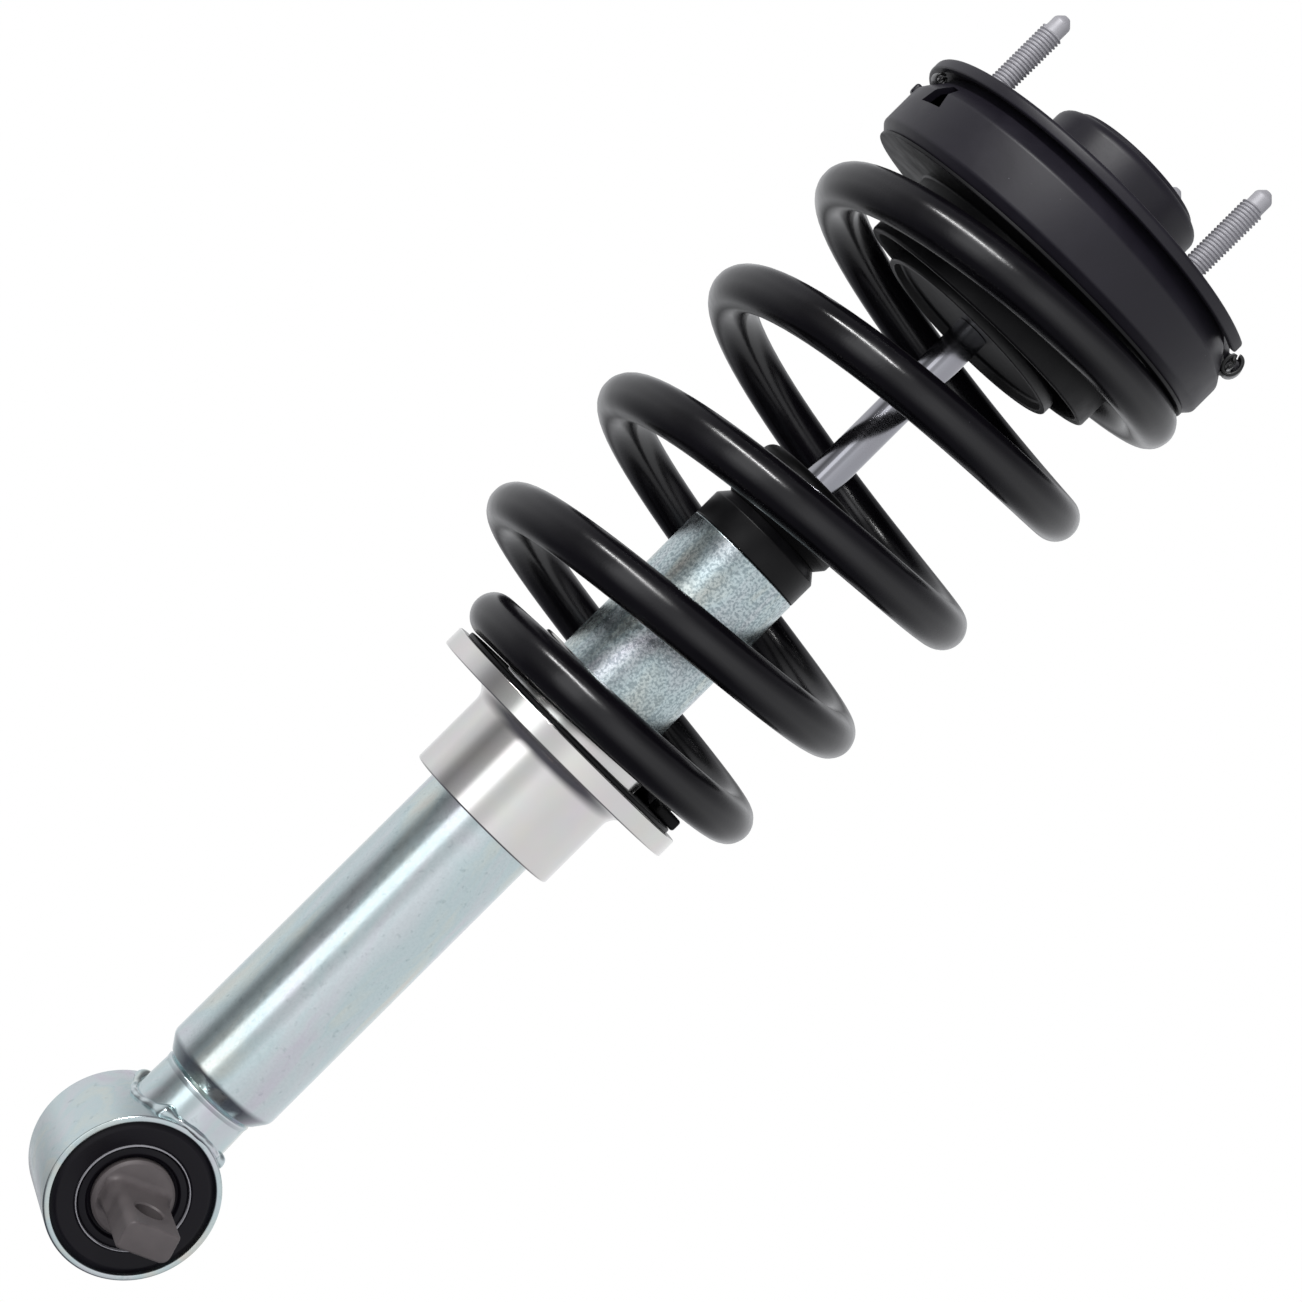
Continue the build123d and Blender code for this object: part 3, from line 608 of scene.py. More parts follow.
for number, angle in enumerate(STUD_ANGLES, 1):
    mesh = stud_mesh(f"mount_stud_{number}")
    place = Matrix.Rotation(radians(angle), 4, "Z") @ Matrix.Translation((STUD_CIRCLE_R * MM, 0, 0))
    mesh.transform(place)
    stud = finish_piece(f"mount_stud_{number}", mesh, "mount_studs", "upper_mount", sharp_above=35)
    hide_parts("mount_studs")
print("threads per stud:", round(THREAD_TOP / THREAD_PITCH, 1))

# %% [markdown]
# ## Upper spring seat
# Under the plate hangs a drum, a ring channel whose floor leans 3.7 degrees so that the coil
# pushes along the load line of the suspension. It is spun upright and then its lower half is
# sheared by the lean: a point's share of the lean grows from nothing at the shoulder to all of
# it at the floor.
# %% Drum
SEAT_LOW, SEAT_TOP, SEAT_R = span("upper_spring_seat")
SEAT_PLANE = -31.9
SHOULDER_Z = -14.4
SEAT_WALL = 3.0


def lean_below_shoulder(point):
    """Lower a point by its share of the seat's lean."""
    share = min(max((-16.0 - point.z / MM) / 11.0, 0), 1)
    return Vector((point.x, point.y, point.z + seat_rise(point.x, point.y) * share))


drum = spun("upper_seat_drum", "upper_spring_seat", "upper_mount", [
    (46.0, SEAT_PLANE, 0.6), (SEAT_R - 3.4, SEAT_PLANE, 1.4), (SEAT_R, SEAT_PLANE + 3.6, 2.2),
    (SEAT_R, SHOULDER_Z, 3.0), (73.0, SEAT_TOP, 0.4), (70.0, SEAT_TOP, 0.4),
    (SEAT_R - SEAT_WALL, SHOULDER_Z, 2.0), (SEAT_R - SEAT_WALL, SEAT_PLANE + SEAT_WALL, 1.5),
    (49.0, SEAT_PLANE + SEAT_WALL, 1.0), (49.0, SEAT_TOP, 0), (46.0, SEAT_TOP, 0),
], sides=240, warp=lean_below_shoulder)
print("drum", round(SEAT_TOP - SEAT_LOW, 1), "mm deep")

# %% [markdown]
# The drum's wall has a small window with slanting sides, punched through from outside, and a
# short tab stands out beside it. The window is a cutter with four corners of its own; the tab is
# a block whose edges are rounded with a bevel.
# %% Window and tab of the drum
WINDOW_ANGLE = 184.2
window = bpy.data.meshes.new("window")
corners = [(-7.5, -20.6), (8.0, -20.6), (4.2, -10.2), (-2.2, -9.4)]
near = [((SEAT_R - 11) * MM, y * MM, z * MM) for y, z in corners]
far = [((SEAT_R + 4) * MM, y * MM, z * MM) for y, z in corners]
sides_of_window = [(i, (i + 1) % 4, (i + 1) % 4 + 4, i + 4) for i in range(4)]
window.from_pydata(near + far, [], [(3, 2, 1, 0), (4, 5, 6, 7), *sides_of_window])
window.transform(Matrix.Rotation(radians(WINDOW_ANGLE), 4, "Z"))
cut(drum, window)


def soft_block(name, size, place, turn, edge):
    """Block with rounded edges, placed and turned like a cutter."""
    mesh = block(name, size, place, turn)
    form = bmesh.new()
    form.from_mesh(mesh)
    bmesh.ops.bevel(form, geom=form.edges[:], offset=edge * MM, segments=4, affect="EDGES", profile=0.5)
    form.to_mesh(mesh)
    form.free()
    return mesh


TAB_ANGLE = 159.2
tab_mesh = soft_block("drum_tab", (3.2, 6.4, 4.6), (SEAT_R - 0.5, 0, -14.4), TAB_ANGLE, 1.3)
tab = finish_piece("drum_tab", tab_mesh, "upper_spring_seat", "upper_mount")
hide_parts("upper_spring_seat")
print("window at", WINDOW_ANGLE, "and tab at", TAB_ANGLE, "degrees")

# %% [markdown]
# Between drum and coil lies a rubber pad, moulded in one piece with a skirt that hangs down
# inside the coil and keeps it centred. All of it leans with the seat, so the whole outline is
# sheared, not just a part of it.
# %% Rubber pad and pilot skirt
PILOT_R = 54.5
PILOT_DROP = 29.6
PAD_T = 1.4


def lean_fully(point):
    """Shear a point by the seat's whole lean."""
    return Vector((point.x, point.y, point.z + seat_rise(point.x, point.y)))


spun("upper_pad_and_pilot", "upper_spring_pad", "upper_mount", [
    (PILOT_R - 3.4, SEAT_PLANE - PILOT_DROP, 0.9), (PILOT_R, SEAT_PLANE - PILOT_DROP, 1.2),
    (PILOT_R, SEAT_PLANE - PAD_T, 1.0), (78.0, SEAT_PLANE - PAD_T, 0.5), (78.0, SEAT_PLANE - 0.02, 0),
    (PILOT_R - 3.4, SEAT_PLANE - 0.02, 0),
], sides=200, warp=lean_fully)
print("pilot skirt hangs", PILOT_DROP, "mm below the seat")

# %% [markdown]
# ## Clips
# Spring-strip hooks keep drum and plate together until the strut is bolted in. A hook is a
# strip that follows a path, so the path's points are offset half the strip's thickness to each
# side and the outline is given the strip's width. Its long edges are broken with a bevel.
# %% Strip bent along a path
STRIP_EDGE = 0.3
STRIP_WIDTH = 7.0


def capped_skin(form, rings):
    """Skin from ring to ring of points, closed at both ends, with its faces outwards."""
    for ring, onward in zip(rings, rings[1:]):
        for i in range(len(ring)):
            j = (i + 1) % len(ring)
            form.faces.new((ring[i], ring[j], onward[j], onward[i]))
    form.faces.new(rings[0][::-1])
    form.faces.new(rings[-1])
    bmesh.ops.recalc_face_normals(form, faces=form.faces)


def strip(name, path, thickness, width):
    """Strip of sheet bent along a path of (radius, height) points in millimetres."""
    form = bmesh.new()
    rows = []
    for i, point in enumerate(path):
        here = Vector(point)
        ahead = Vector(path[min(i + 1, len(path) - 1)]) - Vector(path[max(i - 1, 0)])
        side = Vector((-ahead.y, ahead.x)).normalized() * thickness / 2
        row = []
        for offset, y in ((side, -width / 2), (side, width / 2), (-side, width / 2), (-side, -width / 2)):
            spot = here + offset
            row.append(form.verts.new((spot.x * MM, y * MM, spot.y * MM)))
        rows.append(row)
    capped_skin(form, rows)
    long_edges = [e for e in form.edges if e.calc_face_angle(0) > radians(50)]
    bmesh.ops.bevel(form, geom=long_edges, offset=STRIP_EDGE * MM, segments=3, affect="EDGES", profile=0.5)
    return stored(form, name)


print("clips are", STRIP_WIDTH, "mm wide")

# %% [markdown]
# Each clip's hook is rolled: it starts in a small inner curl and opens into the outer oval. The
# long clip grips the plate's rim in its notch, and the two short ones sit lower, behind the rim.
# %% Seat clips
def oval_path(centre_r, centre_z, half_r, half_z, start, end, count=22):
    """Points of an upright oval hook, from a start angle to an end angle in degrees."""
    path = []
    for i in range(count + 1):
        angle = radians(start + (end - start) * i / count)
        path.append((centre_r + half_r * cos(angle), centre_z + half_z * sin(angle)))
    return path


def rolled_path(centre_r, centre_z, half_r, half_z):
    """A strap end rolled up: a small inner curl that opens into the outer hook."""
    inner = oval_path(centre_r - 0.35 * half_r, centre_z, half_r * 0.3, half_z * 0.4, -80, 90, 10)
    outer = oval_path(centre_r, centre_z, half_r, half_z, 125, 463, 40)
    return inner + outer


CLIPS = {
    "seat_clip_long": (-31.5, rolled_path(79.2, -4.6, 3.1, 4.3), 1.5),
    "seat_clip_back": (68.9, rolled_path(78.2, -8.0, 1.9, 2.1), 0.8),
    "seat_clip_left": (169.7, rolled_path(78.2, -8.0, 1.9, 2.1), 0.8),
}
for name, (angle, path, thickness) in CLIPS.items():
    mesh = strip(name, path, thickness, STRIP_WIDTH)
    mesh.transform(Matrix.Rotation(radians(angle), 4, "Z"))
    clip = finish_piece(name, mesh, "seat_clips", "upper_mount", sharp_above=60)
    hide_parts("seat_clips")
print(len(CLIPS), "clips")

# %% [markdown]
# ## Rod and striker cup
# The 14 mm piston rod is hard chromed, ground and polished, so it mirrors its surroundings with
# only a trace of grinding lines. The striker cup clamped on its shoulder is a shallow pressing
# that the bump stop meets at full travel.
# %% Piston rod and striker cup
ROD_LOW, ROD_TOP, _ = span("piston_rod")
ROD_R = 7.0
PISTON_SHOULDER = -228.0
CUP_LOW, CUP_TOP, CUP_R = span("striker_cup")
CUP_WALL = 2.5
spun("polished_rod", "piston_rod", "upper_mount", [
    (0, ROD_LOW, 0), (5, ROD_LOW, 0.5), (5, PISTON_SHOULDER, 0), (ROD_R, PISTON_SHOULDER, 0.6),
    (ROD_R, CUP_TOP - CUP_WALL, 0.4), (6, CUP_TOP - CUP_WALL, 0), (6, ROD_TOP, 1.0), (0, ROD_TOP, 0),
], sides=72)
spun("striker_cup_pressing", "striker_cup", "upper_mount", [
    (6, CUP_TOP - CUP_WALL, 0), (CUP_R - CUP_WALL, CUP_TOP - CUP_WALL, 1.2),
    (CUP_R - CUP_WALL, CUP_LOW, 0.5), (CUP_R, CUP_LOW, 0.6), (CUP_R, CUP_TOP, 2.4), (6, CUP_TOP, 0),
], sides=144)
print("rod", round(ROD_TOP - ROD_LOW, 1), "mm long, cup radius", round(CUP_R, 1), "mm")

# %% [markdown]
# ## Coil spring
# The spring is 18.5 mm wire wound right-handed. Its lower end is a pigtail that winds in to a
# small radius and lies flat on the perch; its upper end lies along the leaning seat. The centre
# line is written as a formula of the turn, counted from the point where the pigtail ends.
# %% Centre line of the wire
WIRE_R = 9.25
COIL_R = 73.0
END_COIL_R = 50.0
COIL_PITCH = 59.0
COIL_START = -0.417
COIL_END = 4.86
COIL_ZERO_ANGLE = 156.2
COIL_BOW = 2.9
PERCH_LOW, COLLAR_TOP, PERCH_R = span("lower_spring_perch")
FLANGE_TOP = -280.8
COIL_LOW_Z = FLANGE_TOP + 1.8 + WIRE_R


def coil_centre_line(per_turn=64):
    """Centre of the wire in millimetres, adding up the pitch as it goes."""
    count = round((COIL_END - COIL_START) * per_turn)
    step = (COIL_END - COIL_START) / count
    climb = 0.0
    points = []
    for i in range(count + 1):
        turn = COIL_START + step * i
        angle = radians(COIL_ZERO_ANGLE + 360 * turn)
        radius = END_COIL_R + (COIL_R - END_COIL_R) * smooth(turn, -0.12, 0.78)
        bow = COIL_BOW * smooth(turn, 0.0, 1.0) * (1 - smooth(turn, 0.8, 4.6))
        way = radians(COIL_ZERO_ANGLE)
        x = radius * cos(angle) + bow * cos(way)
        y = radius * sin(angle) + bow * sin(way)
        on_seat = smooth(turn, 3.2, 4.45)
        in_body = smooth(turn, 0.2, 1.2) * (1 - on_seat)
        lean = seat_rise(x, y) * on_seat + 0.022 * (x * cos(way) + y * sin(way)) * in_body
        points.append((x, y, COIL_LOW_Z + climb + lean))
        middle = turn + step / 2
        climb += COIL_PITCH * smooth(middle, -0.3, 1.2) * (1 - smooth(middle, 4.1, 4.5)) * step
    return points


centre_line = coil_centre_line()
print("coil points", len(centre_line), "top at", round(centre_line[-1][2], 1), "mm")

# %% [markdown]
# Only the centre line is stored as a mesh, and a Geometry Nodes tube is laid round it: if the
# line is squashed, the wire stays round instead of flattening. A value stored at each point of
# the line gives the tube's size there, so that the sheared ends of the wire get a worn edge.
# %% Round tube on a line
WORN_END = (0.90, 0.955, 0.985)


def round_wire_nodes(material):
    """Geometry Nodes group that lays a round tube on a line of edges."""
    group = bpy.data.node_groups.new("round_wire", "GeometryNodeTree")
    group.interface.new_socket("Geometry", in_out="INPUT", socket_type="NodeSocketGeometry")
    group.interface.new_socket("Geometry", in_out="OUTPUT", socket_type="NodeSocketGeometry")
    source = add_node(group, "NodeGroupInput")
    line = add_node(group, "GeometryNodeMeshToCurve", links={"Mesh": source.outputs["Geometry"]})
    share = add_node(group, "GeometryNodeInputNamedAttribute", {"data_type": "FLOAT", "Name": "wire_share"})
    sized = add_node(group, "GeometryNodeSetCurveRadius", links={
        "Curve": line.outputs["Curve"], "Radius": share.outputs["Attribute"]})
    circle = add_node(group, "GeometryNodeCurvePrimitiveCircle", {"Resolution": 40, "Radius": WIRE_R * MM})
    tube = add_node(group, "GeometryNodeCurveToMesh", {"Fill Caps": True}, {
        "Curve": sized.outputs["Curve"], "Profile Curve": circle.outputs["Curve"]})
    if "Scale" in tube.inputs:
        group.links.new(share.outputs["Attribute"], tube.inputs["Scale"])
    painted = add_node(group, "GeometryNodeSetMaterial", {"Material": material}, {
        "Geometry": tube.outputs["Mesh"]})
    add_node(group, "NodeGroupOutput", links={"Geometry": painted.outputs["Geometry"]})
    return group


def wire_share(index, count):
    """Share of the full wire radius: the sheared ends have a worn edge."""
    from_end = min(index, count - 1 - index)
    return WORN_END[from_end] if from_end < len(WORN_END) else 1.0


print("wire", 2 * WIRE_R, "mm thick, its ends", round(2 * WIRE_R * WORN_END[0], 1), "mm")

# %% [markdown]
# The line starts and ends with three close points for the worn edge.
# %% The coil
coil_mesh = bpy.data.meshes.new("coil_spring_line")
first, second = Vector(centre_line[0]), Vector(centre_line[1])
last, before_last = Vector(centre_line[-1]), Vector(centre_line[-2])
END_STEPS = (0.0, 0.35, 0.9)
start_points = [first + (second - first).normalized() * d for d in END_STEPS]
end_points = [last + (before_last - last).normalized() * d for d in reversed(END_STEPS)]
line_points = [*start_points, *[Vector(p) for p in centre_line[1:-1]], *end_points]
coil_mesh.from_pydata([p * MM for p in line_points], [(i, i + 1) for i in range(len(line_points) - 1)], [])
attribute = coil_mesh.attributes.new("wire_share", "FLOAT", "POINT")
for i, item in enumerate(attribute.data):
    item.value = wire_share(i, len(line_points))
coil_mesh.materials.append(FINISH["black_powder_coat"])
coil = bpy.data.objects.new("coil_spring_wire", coil_mesh)
bpy.context.scene.collection.objects.link(coil)
tube_maker = coil.modifiers.new("round_wire", "NODES")
tube_maker.node_group = round_wire_nodes(FINISH["black_powder_coat"])
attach(coil, "upper_mount")
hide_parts("coil_spring")
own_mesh(coil)

# %% [markdown]
# ## Damper tube
# The monotube is drawn steel with a rounded bottom and one small step where the saddle of the
# eye is welded on. The outline goes up the outside and down the bore, so the wall is real.
# %% Damper tube
TUBE_SHOULDER = -464.7
NECK_R = 20.9
BORE_R = 23.0
spun("drawn_damper_tube", "damper_tube", "damper_body", [
    (0, TUBE_LOW, 0), (NECK_R - 1.6, TUBE_LOW, 0), (NECK_R - 0.6, TUBE_LOW + 1.1, 0.3),
    (NECK_R + 0.5, TUBE_LOW + 1.3, 0.4), (TUBE_R, TUBE_SHOULDER, 4.5), (TUBE_R, TUBE_TOP, 0.5),
    (BORE_R, TUBE_TOP, 0.4), (BORE_R, TUBE_LOW + 5, 3.0), (0, TUBE_LOW + 4.5, 0),
], sides=160)
print("tube wall", round(TUBE_R - BORE_R, 2), "mm")

# %% [markdown]
# On the tube sits a black nylon cap with a chamfered shoulder, and on the cap a bump stop of
# foamed polyurethane that the striker cup meets at the end of the travel. Foam has no sharp
# edges, so its two upper corners get radii of 5 and 6 mm.
# %% Cap and bump stop
_, CAP_TOP, _ = span("tube_cap")
_, BUMP_TOP, _ = span("bump_stop")
ROD_GAP_R = 8.2
spun("tube_end_cap", "tube_cap", "damper_body", [
    (ROD_GAP_R, CAP_TOP, 0), (22.0, CAP_TOP, 0.5), (TUBE_R, CAP_TOP - 4.0, 1.0),
    (TUBE_R, TUBE_TOP + 0.05, 0.6), (BORE_R - 0.1, TUBE_TOP + 0.05, 0),
    (BORE_R - 0.1, TUBE_TOP - 6, 0.5), (12.0, TUBE_TOP - 6, 0), (12.0, TUBE_TOP + 1, 0),
    (ROD_GAP_R, TUBE_TOP + 1, 0),
], sides=128)
spun("foam_bump_stop", "bump_stop", "damper_body", [
    (ROD_GAP_R, CAP_TOP + 0.02, 0), (22.0, CAP_TOP + 0.02, 1.0), (25.1, CAP_TOP + 3.8, 1.6),
    (25.3, CAP_TOP + 12, 6.0), (24.4, BUMP_TOP, 5.0), (ROD_GAP_R, BUMP_TOP, 1.2),
], sides=128)
print("bump stop", round(BUMP_TOP - CAP_TOP, 1), "mm tall")

# %% [markdown]
# ## Lower spring perch
# One piece of aluminium: a hub that slides on the tube, a flange that carries the spring with a
# generous fillet under it, and a collar above. On the flange lies a thin rubber pad with a block
# that the wire's end butts against.
# %% Perch and pad
HUB_R = 33.9
FLANGE_LOW = -289.0
spun("turned_spring_perch", "lower_spring_perch", "damper_body", [
    (27.0, PERCH_LOW, 0.4), (HUB_R, PERCH_LOW, 0.9), (HUB_R, FLANGE_LOW, 6.8), (PERCH_R, FLANGE_LOW, 0.7),
    (PERCH_R, FLANGE_TOP, 0.7), (HUB_R, FLANGE_TOP, 1.0), (HUB_R, COLLAR_TOP, 1.5),
    (TUBE_R + 0.05, COLLAR_TOP, 0.6), (TUBE_R + 0.05, PERCH_LOW + 4, 0), (27.0, PERCH_LOW + 4, 0),
], sides=200, arc_steps=9)
PAD_TOP = FLANGE_TOP + 1.8
PAD_R = 53.0
spun("lower_spring_pad_ring", "lower_spring_pad", "damper_body", [
    (HUB_R + 1.2, FLANGE_TOP + 0.02, 0), (PAD_R, FLANGE_TOP + 0.02, 0.4), (PAD_R, PAD_TOP, 0.6),
    (HUB_R + 1.2, PAD_TOP, 0.6),
], sides=160)
STOP_ANGLE = -8.0
stop_mesh = soft_block("coil_end_stop", (11, 12, 5.1), (50.0, 0, PAD_TOP + 2.5), STOP_ANGLE, 1.2)
end_stop = finish_piece("coil_end_stop", stop_mesh, "lower_spring_pad", "damper_body")
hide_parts("lower_spring_pad")
print("perch flange", round(FLANGE_TOP - FLANGE_LOW, 1), "mm thick, pad on it up to", round(PAD_TOP, 1))

# %% [markdown]
# ## The eye at the bottom
# A steel ring is welded under the tube through a short saddle. A rubber bush is pressed into it
# and a forged bar passes through the bush. The saddle's lower edge follows the ring, so each
# point of it is let down to the ring's height at that place.
# %% Ring, saddle and bush
RING_WALL = 2.5


def on_ring(x, lift=0.0):
    """Height of the ring's outside above a place beside the axis, in millimetres."""
    return EYE_Z + sqrt((EYE_R + lift) ** 2 - min(abs(x), EYE_R) ** 2)


def saddle(point):
    """Let the saddle's lower edge down to the ring."""
    if point.z / MM < TUBE_LOW - 3:
        return Vector((point.x, point.y, (on_ring(point.x / MM) - 0.3) * MM))
    return point


spun("eye_ring_forging", "eye_ring", "damper_body", [
    (EYE_R - RING_WALL, -EYE_HALF, 0.5), (EYE_R, -EYE_HALF, 0.9), (EYE_R, EYE_HALF, 0.9),
    (EYE_R - RING_WALL, EYE_HALF, 0.5),
], sides=160, across=True)
spun("eye_saddle", "eye_neck", "damper_body", [
    (0, TUBE_LOW, 0), (NECK_R, TUBE_LOW, 0.9), (NECK_R - 0.5, TUBE_LOW - 2.5, 0.5),
    (NECK_R, TUBE_LOW - 12, 0), (0, TUBE_LOW - 12, 0),
], sides=128, warp=saddle)
RUBBER_R = EYE_R - RING_WALL
BARREL_R = 15.7
FACE = EYE_HALF - 0.4
half_bush = [
    (BARREL_R + 0.1, FACE - 2.6, 0), (17.2, FACE - 2.2, 0.5), (17.8, FACE - 0.4, 0.5),
    (20.3, FACE - 0.7, 0.2), (20.8, FACE - 1.6, 0.2), (21.7, FACE - 0.7, 0.2),
    (22.4, FACE - 0.3, 0.3), (28.6, FACE - 0.1, 1.6), (RUBBER_R, FACE - 1.6, 0),
]
mirrored = [(r, -y, c) for r, y, c in reversed(half_bush)]
spun("bonded_bush_rubber", "bush_rubber", "damper_body", half_bush + mirrored, sides=160, across=True)
print("eye radius", round(EYE_R, 1), "mm, rubber", round(RUBBER_R - BARREL_R, 1), "mm thick")

# %% [markdown]
# Where the two halves of the mould met, a thin fin of rubber stands on each face of the bush.
# Its pale colour is a painted highlight: the fine bright circle where the fin's edge catches the light.
# %% Fins on the bush, with a painted highlight
# The fin's pale colour is not the rubber's own: it is a painted highlight, a bright circle of light.
FIN_PAINTED_HIGHLIGHT = moulded("rubber_ring_painted_highlight", "#9a999f", "#b4b3b8", 0.45, 0.8, 0.005)
FIN_R = 21.2
for number, sign in enumerate((-1, 1), 1):
    fin = spun_mesh(f"bush_highlit_fin_{number}", [
        (FIN_R, sign * (FACE - 2), 0), (FIN_R + 0.4, sign * (FACE - 2), 0),
        (FIN_R + 0.4, sign * (FACE + 0.3), 0.12), (FIN_R, sign * (FACE + 0.3), 0.12),
    ])
    fin.transform(ACROSS)
    piece = finish_piece(f"bush_highlit_fin_{number}", fin, "bush_rubber", "damper_body")
    # The pale finish on the fin paints the highlight in.
    piece.data.materials[0] = FIN_PAINTED_HIGHLIGHT
print("fins at radius", FIN_R, "mm")

# %% [markdown]
# ### Weld bead
# A robot welds the saddle to the eye in two passes that meet at the sides. The bead is a ring
# that follows the corner between saddle and eye. It swells and shrinks slowly, with faint
# ripples, and where a pass started or ended it leaves a bright lump.
# %% Weld bead
WELD_LUMPS = ((231, 2.1, 13), (322, 1.6, 12), (49, 1.6, 13), (142, 1.9, 13))


def weld_thickness(angle):
    """Radius of the bead in millimetres at an angle in degrees round the saddle."""
    ripple = 0.05 * cos(radians(angle) * 26)
    wander = 0.45 * noise.noise((2.2 * cos(radians(angle)), 2.2 * sin(radians(angle)), 5))
    lumps = sum(size * smooth(width - abs((angle - at + 180) % 360 - 180), 0, width)
                for at, size, width in WELD_LUMPS)
    return 1.7 + ripple + wander + lumps


def weld_mesh(name, steps=300, sides=20):
    form = bmesh.new()
    rings = []
    for i in range(steps):
        angle = 2 * pi * i / steps
        radius = weld_thickness(360 * i / steps)
        x = (NECK_R + 0.2) * cos(angle)
        outwards = Vector((cos(angle), sin(angle), 0))
        centre = Vector((x, (NECK_R + 0.2) * sin(angle), on_ring(x, 0.2)))
        ring_points = []
        for k in range(sides):
            turn = 2 * pi * k / sides
            spot = centre + outwards * radius * 1.1 * cos(turn) + Vector((0, 0, radius * sin(turn)))
            spot += outwards * 0.3 * noise.noise(spot * 0.35)
            ring_points.append(form.verts.new(spot * MM))
        rings.append(ring_points)
    for i in range(steps):
        ring_points, onward = rings[i], rings[(i + 1) % steps]
        for k in range(sides):
            j = (k + 1) % sides
            form.faces.new((ring_points[k], onward[k], onward[j], ring_points[j]))
    bmesh.ops.recalc_face_normals(form, faces=form.faces)
    return stored(form, name)


weld = finish_piece("saddle_weld_bead", weld_mesh("saddle_weld_bead"), "eye_weld", "damper_body", 80)
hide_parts("eye_weld")
print("bead radius", [round(weld_thickness(a), 1) for a in (0, 90, 180, 270)], "mm")

# %% [markdown]
# ### Bar pin
# The cross bar is forged from round steel: a barrel in the bush, and at each end a flat blade
# drilled for the bolt to the lower arm. The flats are struck into the barrel's end, so part of
# its round face is left standing above them, joined by a small fillet. The die left two opposite
# corners of the blade round and two almost sharp. Every station along the bar is the same kind
# of outline, a rounded rectangle read at even angles, so the stations join into one skin.
# %% Sections of the bar
BAR_TWIST = 18.2
BAR_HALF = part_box("bar_pin")[1][1] / MM
BARREL_HALF = 23.0
BLADE_W = 21.0
BLADE_T = 12.2
BAR_HOLE_R = 5.75
BAR_HOLE_Y = 44.0
BARREL_FACE_R = BARREL_R - 1.3


def bar_section(half_width, half_height, round_corner, sharp_corner, side, count=96):
    """Outline points at even angles of a rectangle with two round and two sharp corners."""
    first, second = (round_corner, sharp_corner) if side > 0 else (sharp_corner, round_corner)
    outline = rounded([
        (half_width, half_height, first), (-half_width, half_height, second),
        (-half_width, -half_height, first), (half_width, -half_height, second),
    ], 12)
    points = []
    for k in range(count):
        way = Vector((cos(2 * pi * (k + 0.5) / count), sin(2 * pi * (k + 0.5) / count)))
        for a, b in zip(outline, outline[1:] + outline[:1]):
            edge = b - a
            across = way.x * edge.y - way.y * edge.x
            if abs(across) < 1e-9:
                continue
            reach = (a.x * edge.y - a.y * edge.x) / across
            along = (a.x * way.y - a.y * way.x) / across
            if reach > 0 and -1e-6 <= along <= 1 + 1e-6:
                points.append(way * reach)
                break
    return points


def bar_end(side):
    """Stations from the barrel to the tip: distance along the bar and outline."""
    w, t = BLADE_W / 2, BLADE_T / 2
    face = BARREL_FACE_R
    stations = [
        (BARREL_HALF - 1.2, bar_section(BARREL_R, BARREL_R, BARREL_R - 0.01, BARREL_R - 0.01, side)),
        (BARREL_HALF - 0.2, bar_section(face + 0.4, face + 0.4, face + 0.39, face + 0.39, side)),
        (BARREL_HALF, bar_section(face, face, face - 0.01, face - 0.01, side)),
    ]
    for run, rise in ((0.05, 2.6), (0.3, 1.7), (0.8, 0.9), (1.5, 0.35), (2.4, 0.08), (4.6, 0.0)):
        width = 13.2 - 0.6 * run / 4.6
        stations.append((BARREL_HALF + run, bar_section(width, t + rise, 5.2, 3.6, side)))
    for i in range(1, 7):
        share = smooth(i / 6, 0, 1)
        width = 12.6 + (w - 12.6) * share
        stations.append((BARREL_HALF + 4.6 + 7 * i / 6, bar_section(
            width, t, 5.2 - 1.6 * share, 3.6 - 2.6 * share, side)))
    for inset, shrink in ((1.2, 0.0), (0.75, 0.08), (0.35, 0.28), (0.1, 0.6), (0.0, 0.95)):
        stations.append((BAR_HALF - inset, bar_section(w - shrink, t - shrink, 3.6 - shrink, 1.0, side)))
    return [(side * y, section) for y, section in stations]


print("bar", round(2 * BAR_HALF, 1), "mm long in", 2 * len(bar_end(1)), "stations")

# %% [markdown]
# After the skin is closed, each blade is drilled with a cutter that flares at both mouths, which
# leaves the small chamfer of a real hole, and the finished bar is turned to the angle at which
# it sits in its bush.
# %% Bar pin
def bar_mesh(name):
    form = bmesh.new()
    stations = bar_end(-1)[::-1] + bar_end(1)
    rings = [[form.verts.new((p.x * MM, y * MM, p.y * MM)) for p in section] for y, section in stations]
    capped_skin(form, rings)
    return stored(form, name)


SHARP_ABOVE = 32                # degrees between two faces
FLARE = 3.6
bar = finish_piece("forged_bar_pin", bar_mesh("forged_bar_pin"), "bar_pin", "bar_pin", SHARP_ABOVE)
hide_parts("bar_pin")
for side in (-1, 1):
    drill = spun_mesh("drill", [
        (0, -9, 0), (BAR_HOLE_R + FLARE, -9, 0), (BAR_HOLE_R, FLARE - 9, 0), (BAR_HOLE_R, 9 - FLARE, 0),
        (BAR_HOLE_R + FLARE, 9, 0), (0, 9, 0),
    ], sides=64)
    drill.transform(Matrix.Translation((0, side * BAR_HOLE_Y * MM, 0)))
    cut(bar, drill)
bar.data.transform(Matrix.Translation((0, 0, EYE_Z * MM)) @ Matrix.Rotation(radians(-BAR_TWIST), 4, "Y"))
bar.data.set_sharp_from_angle(angle=radians(SHARP_ABOVE))
print("bar twisted", BAR_TWIST, "degrees in its bush")

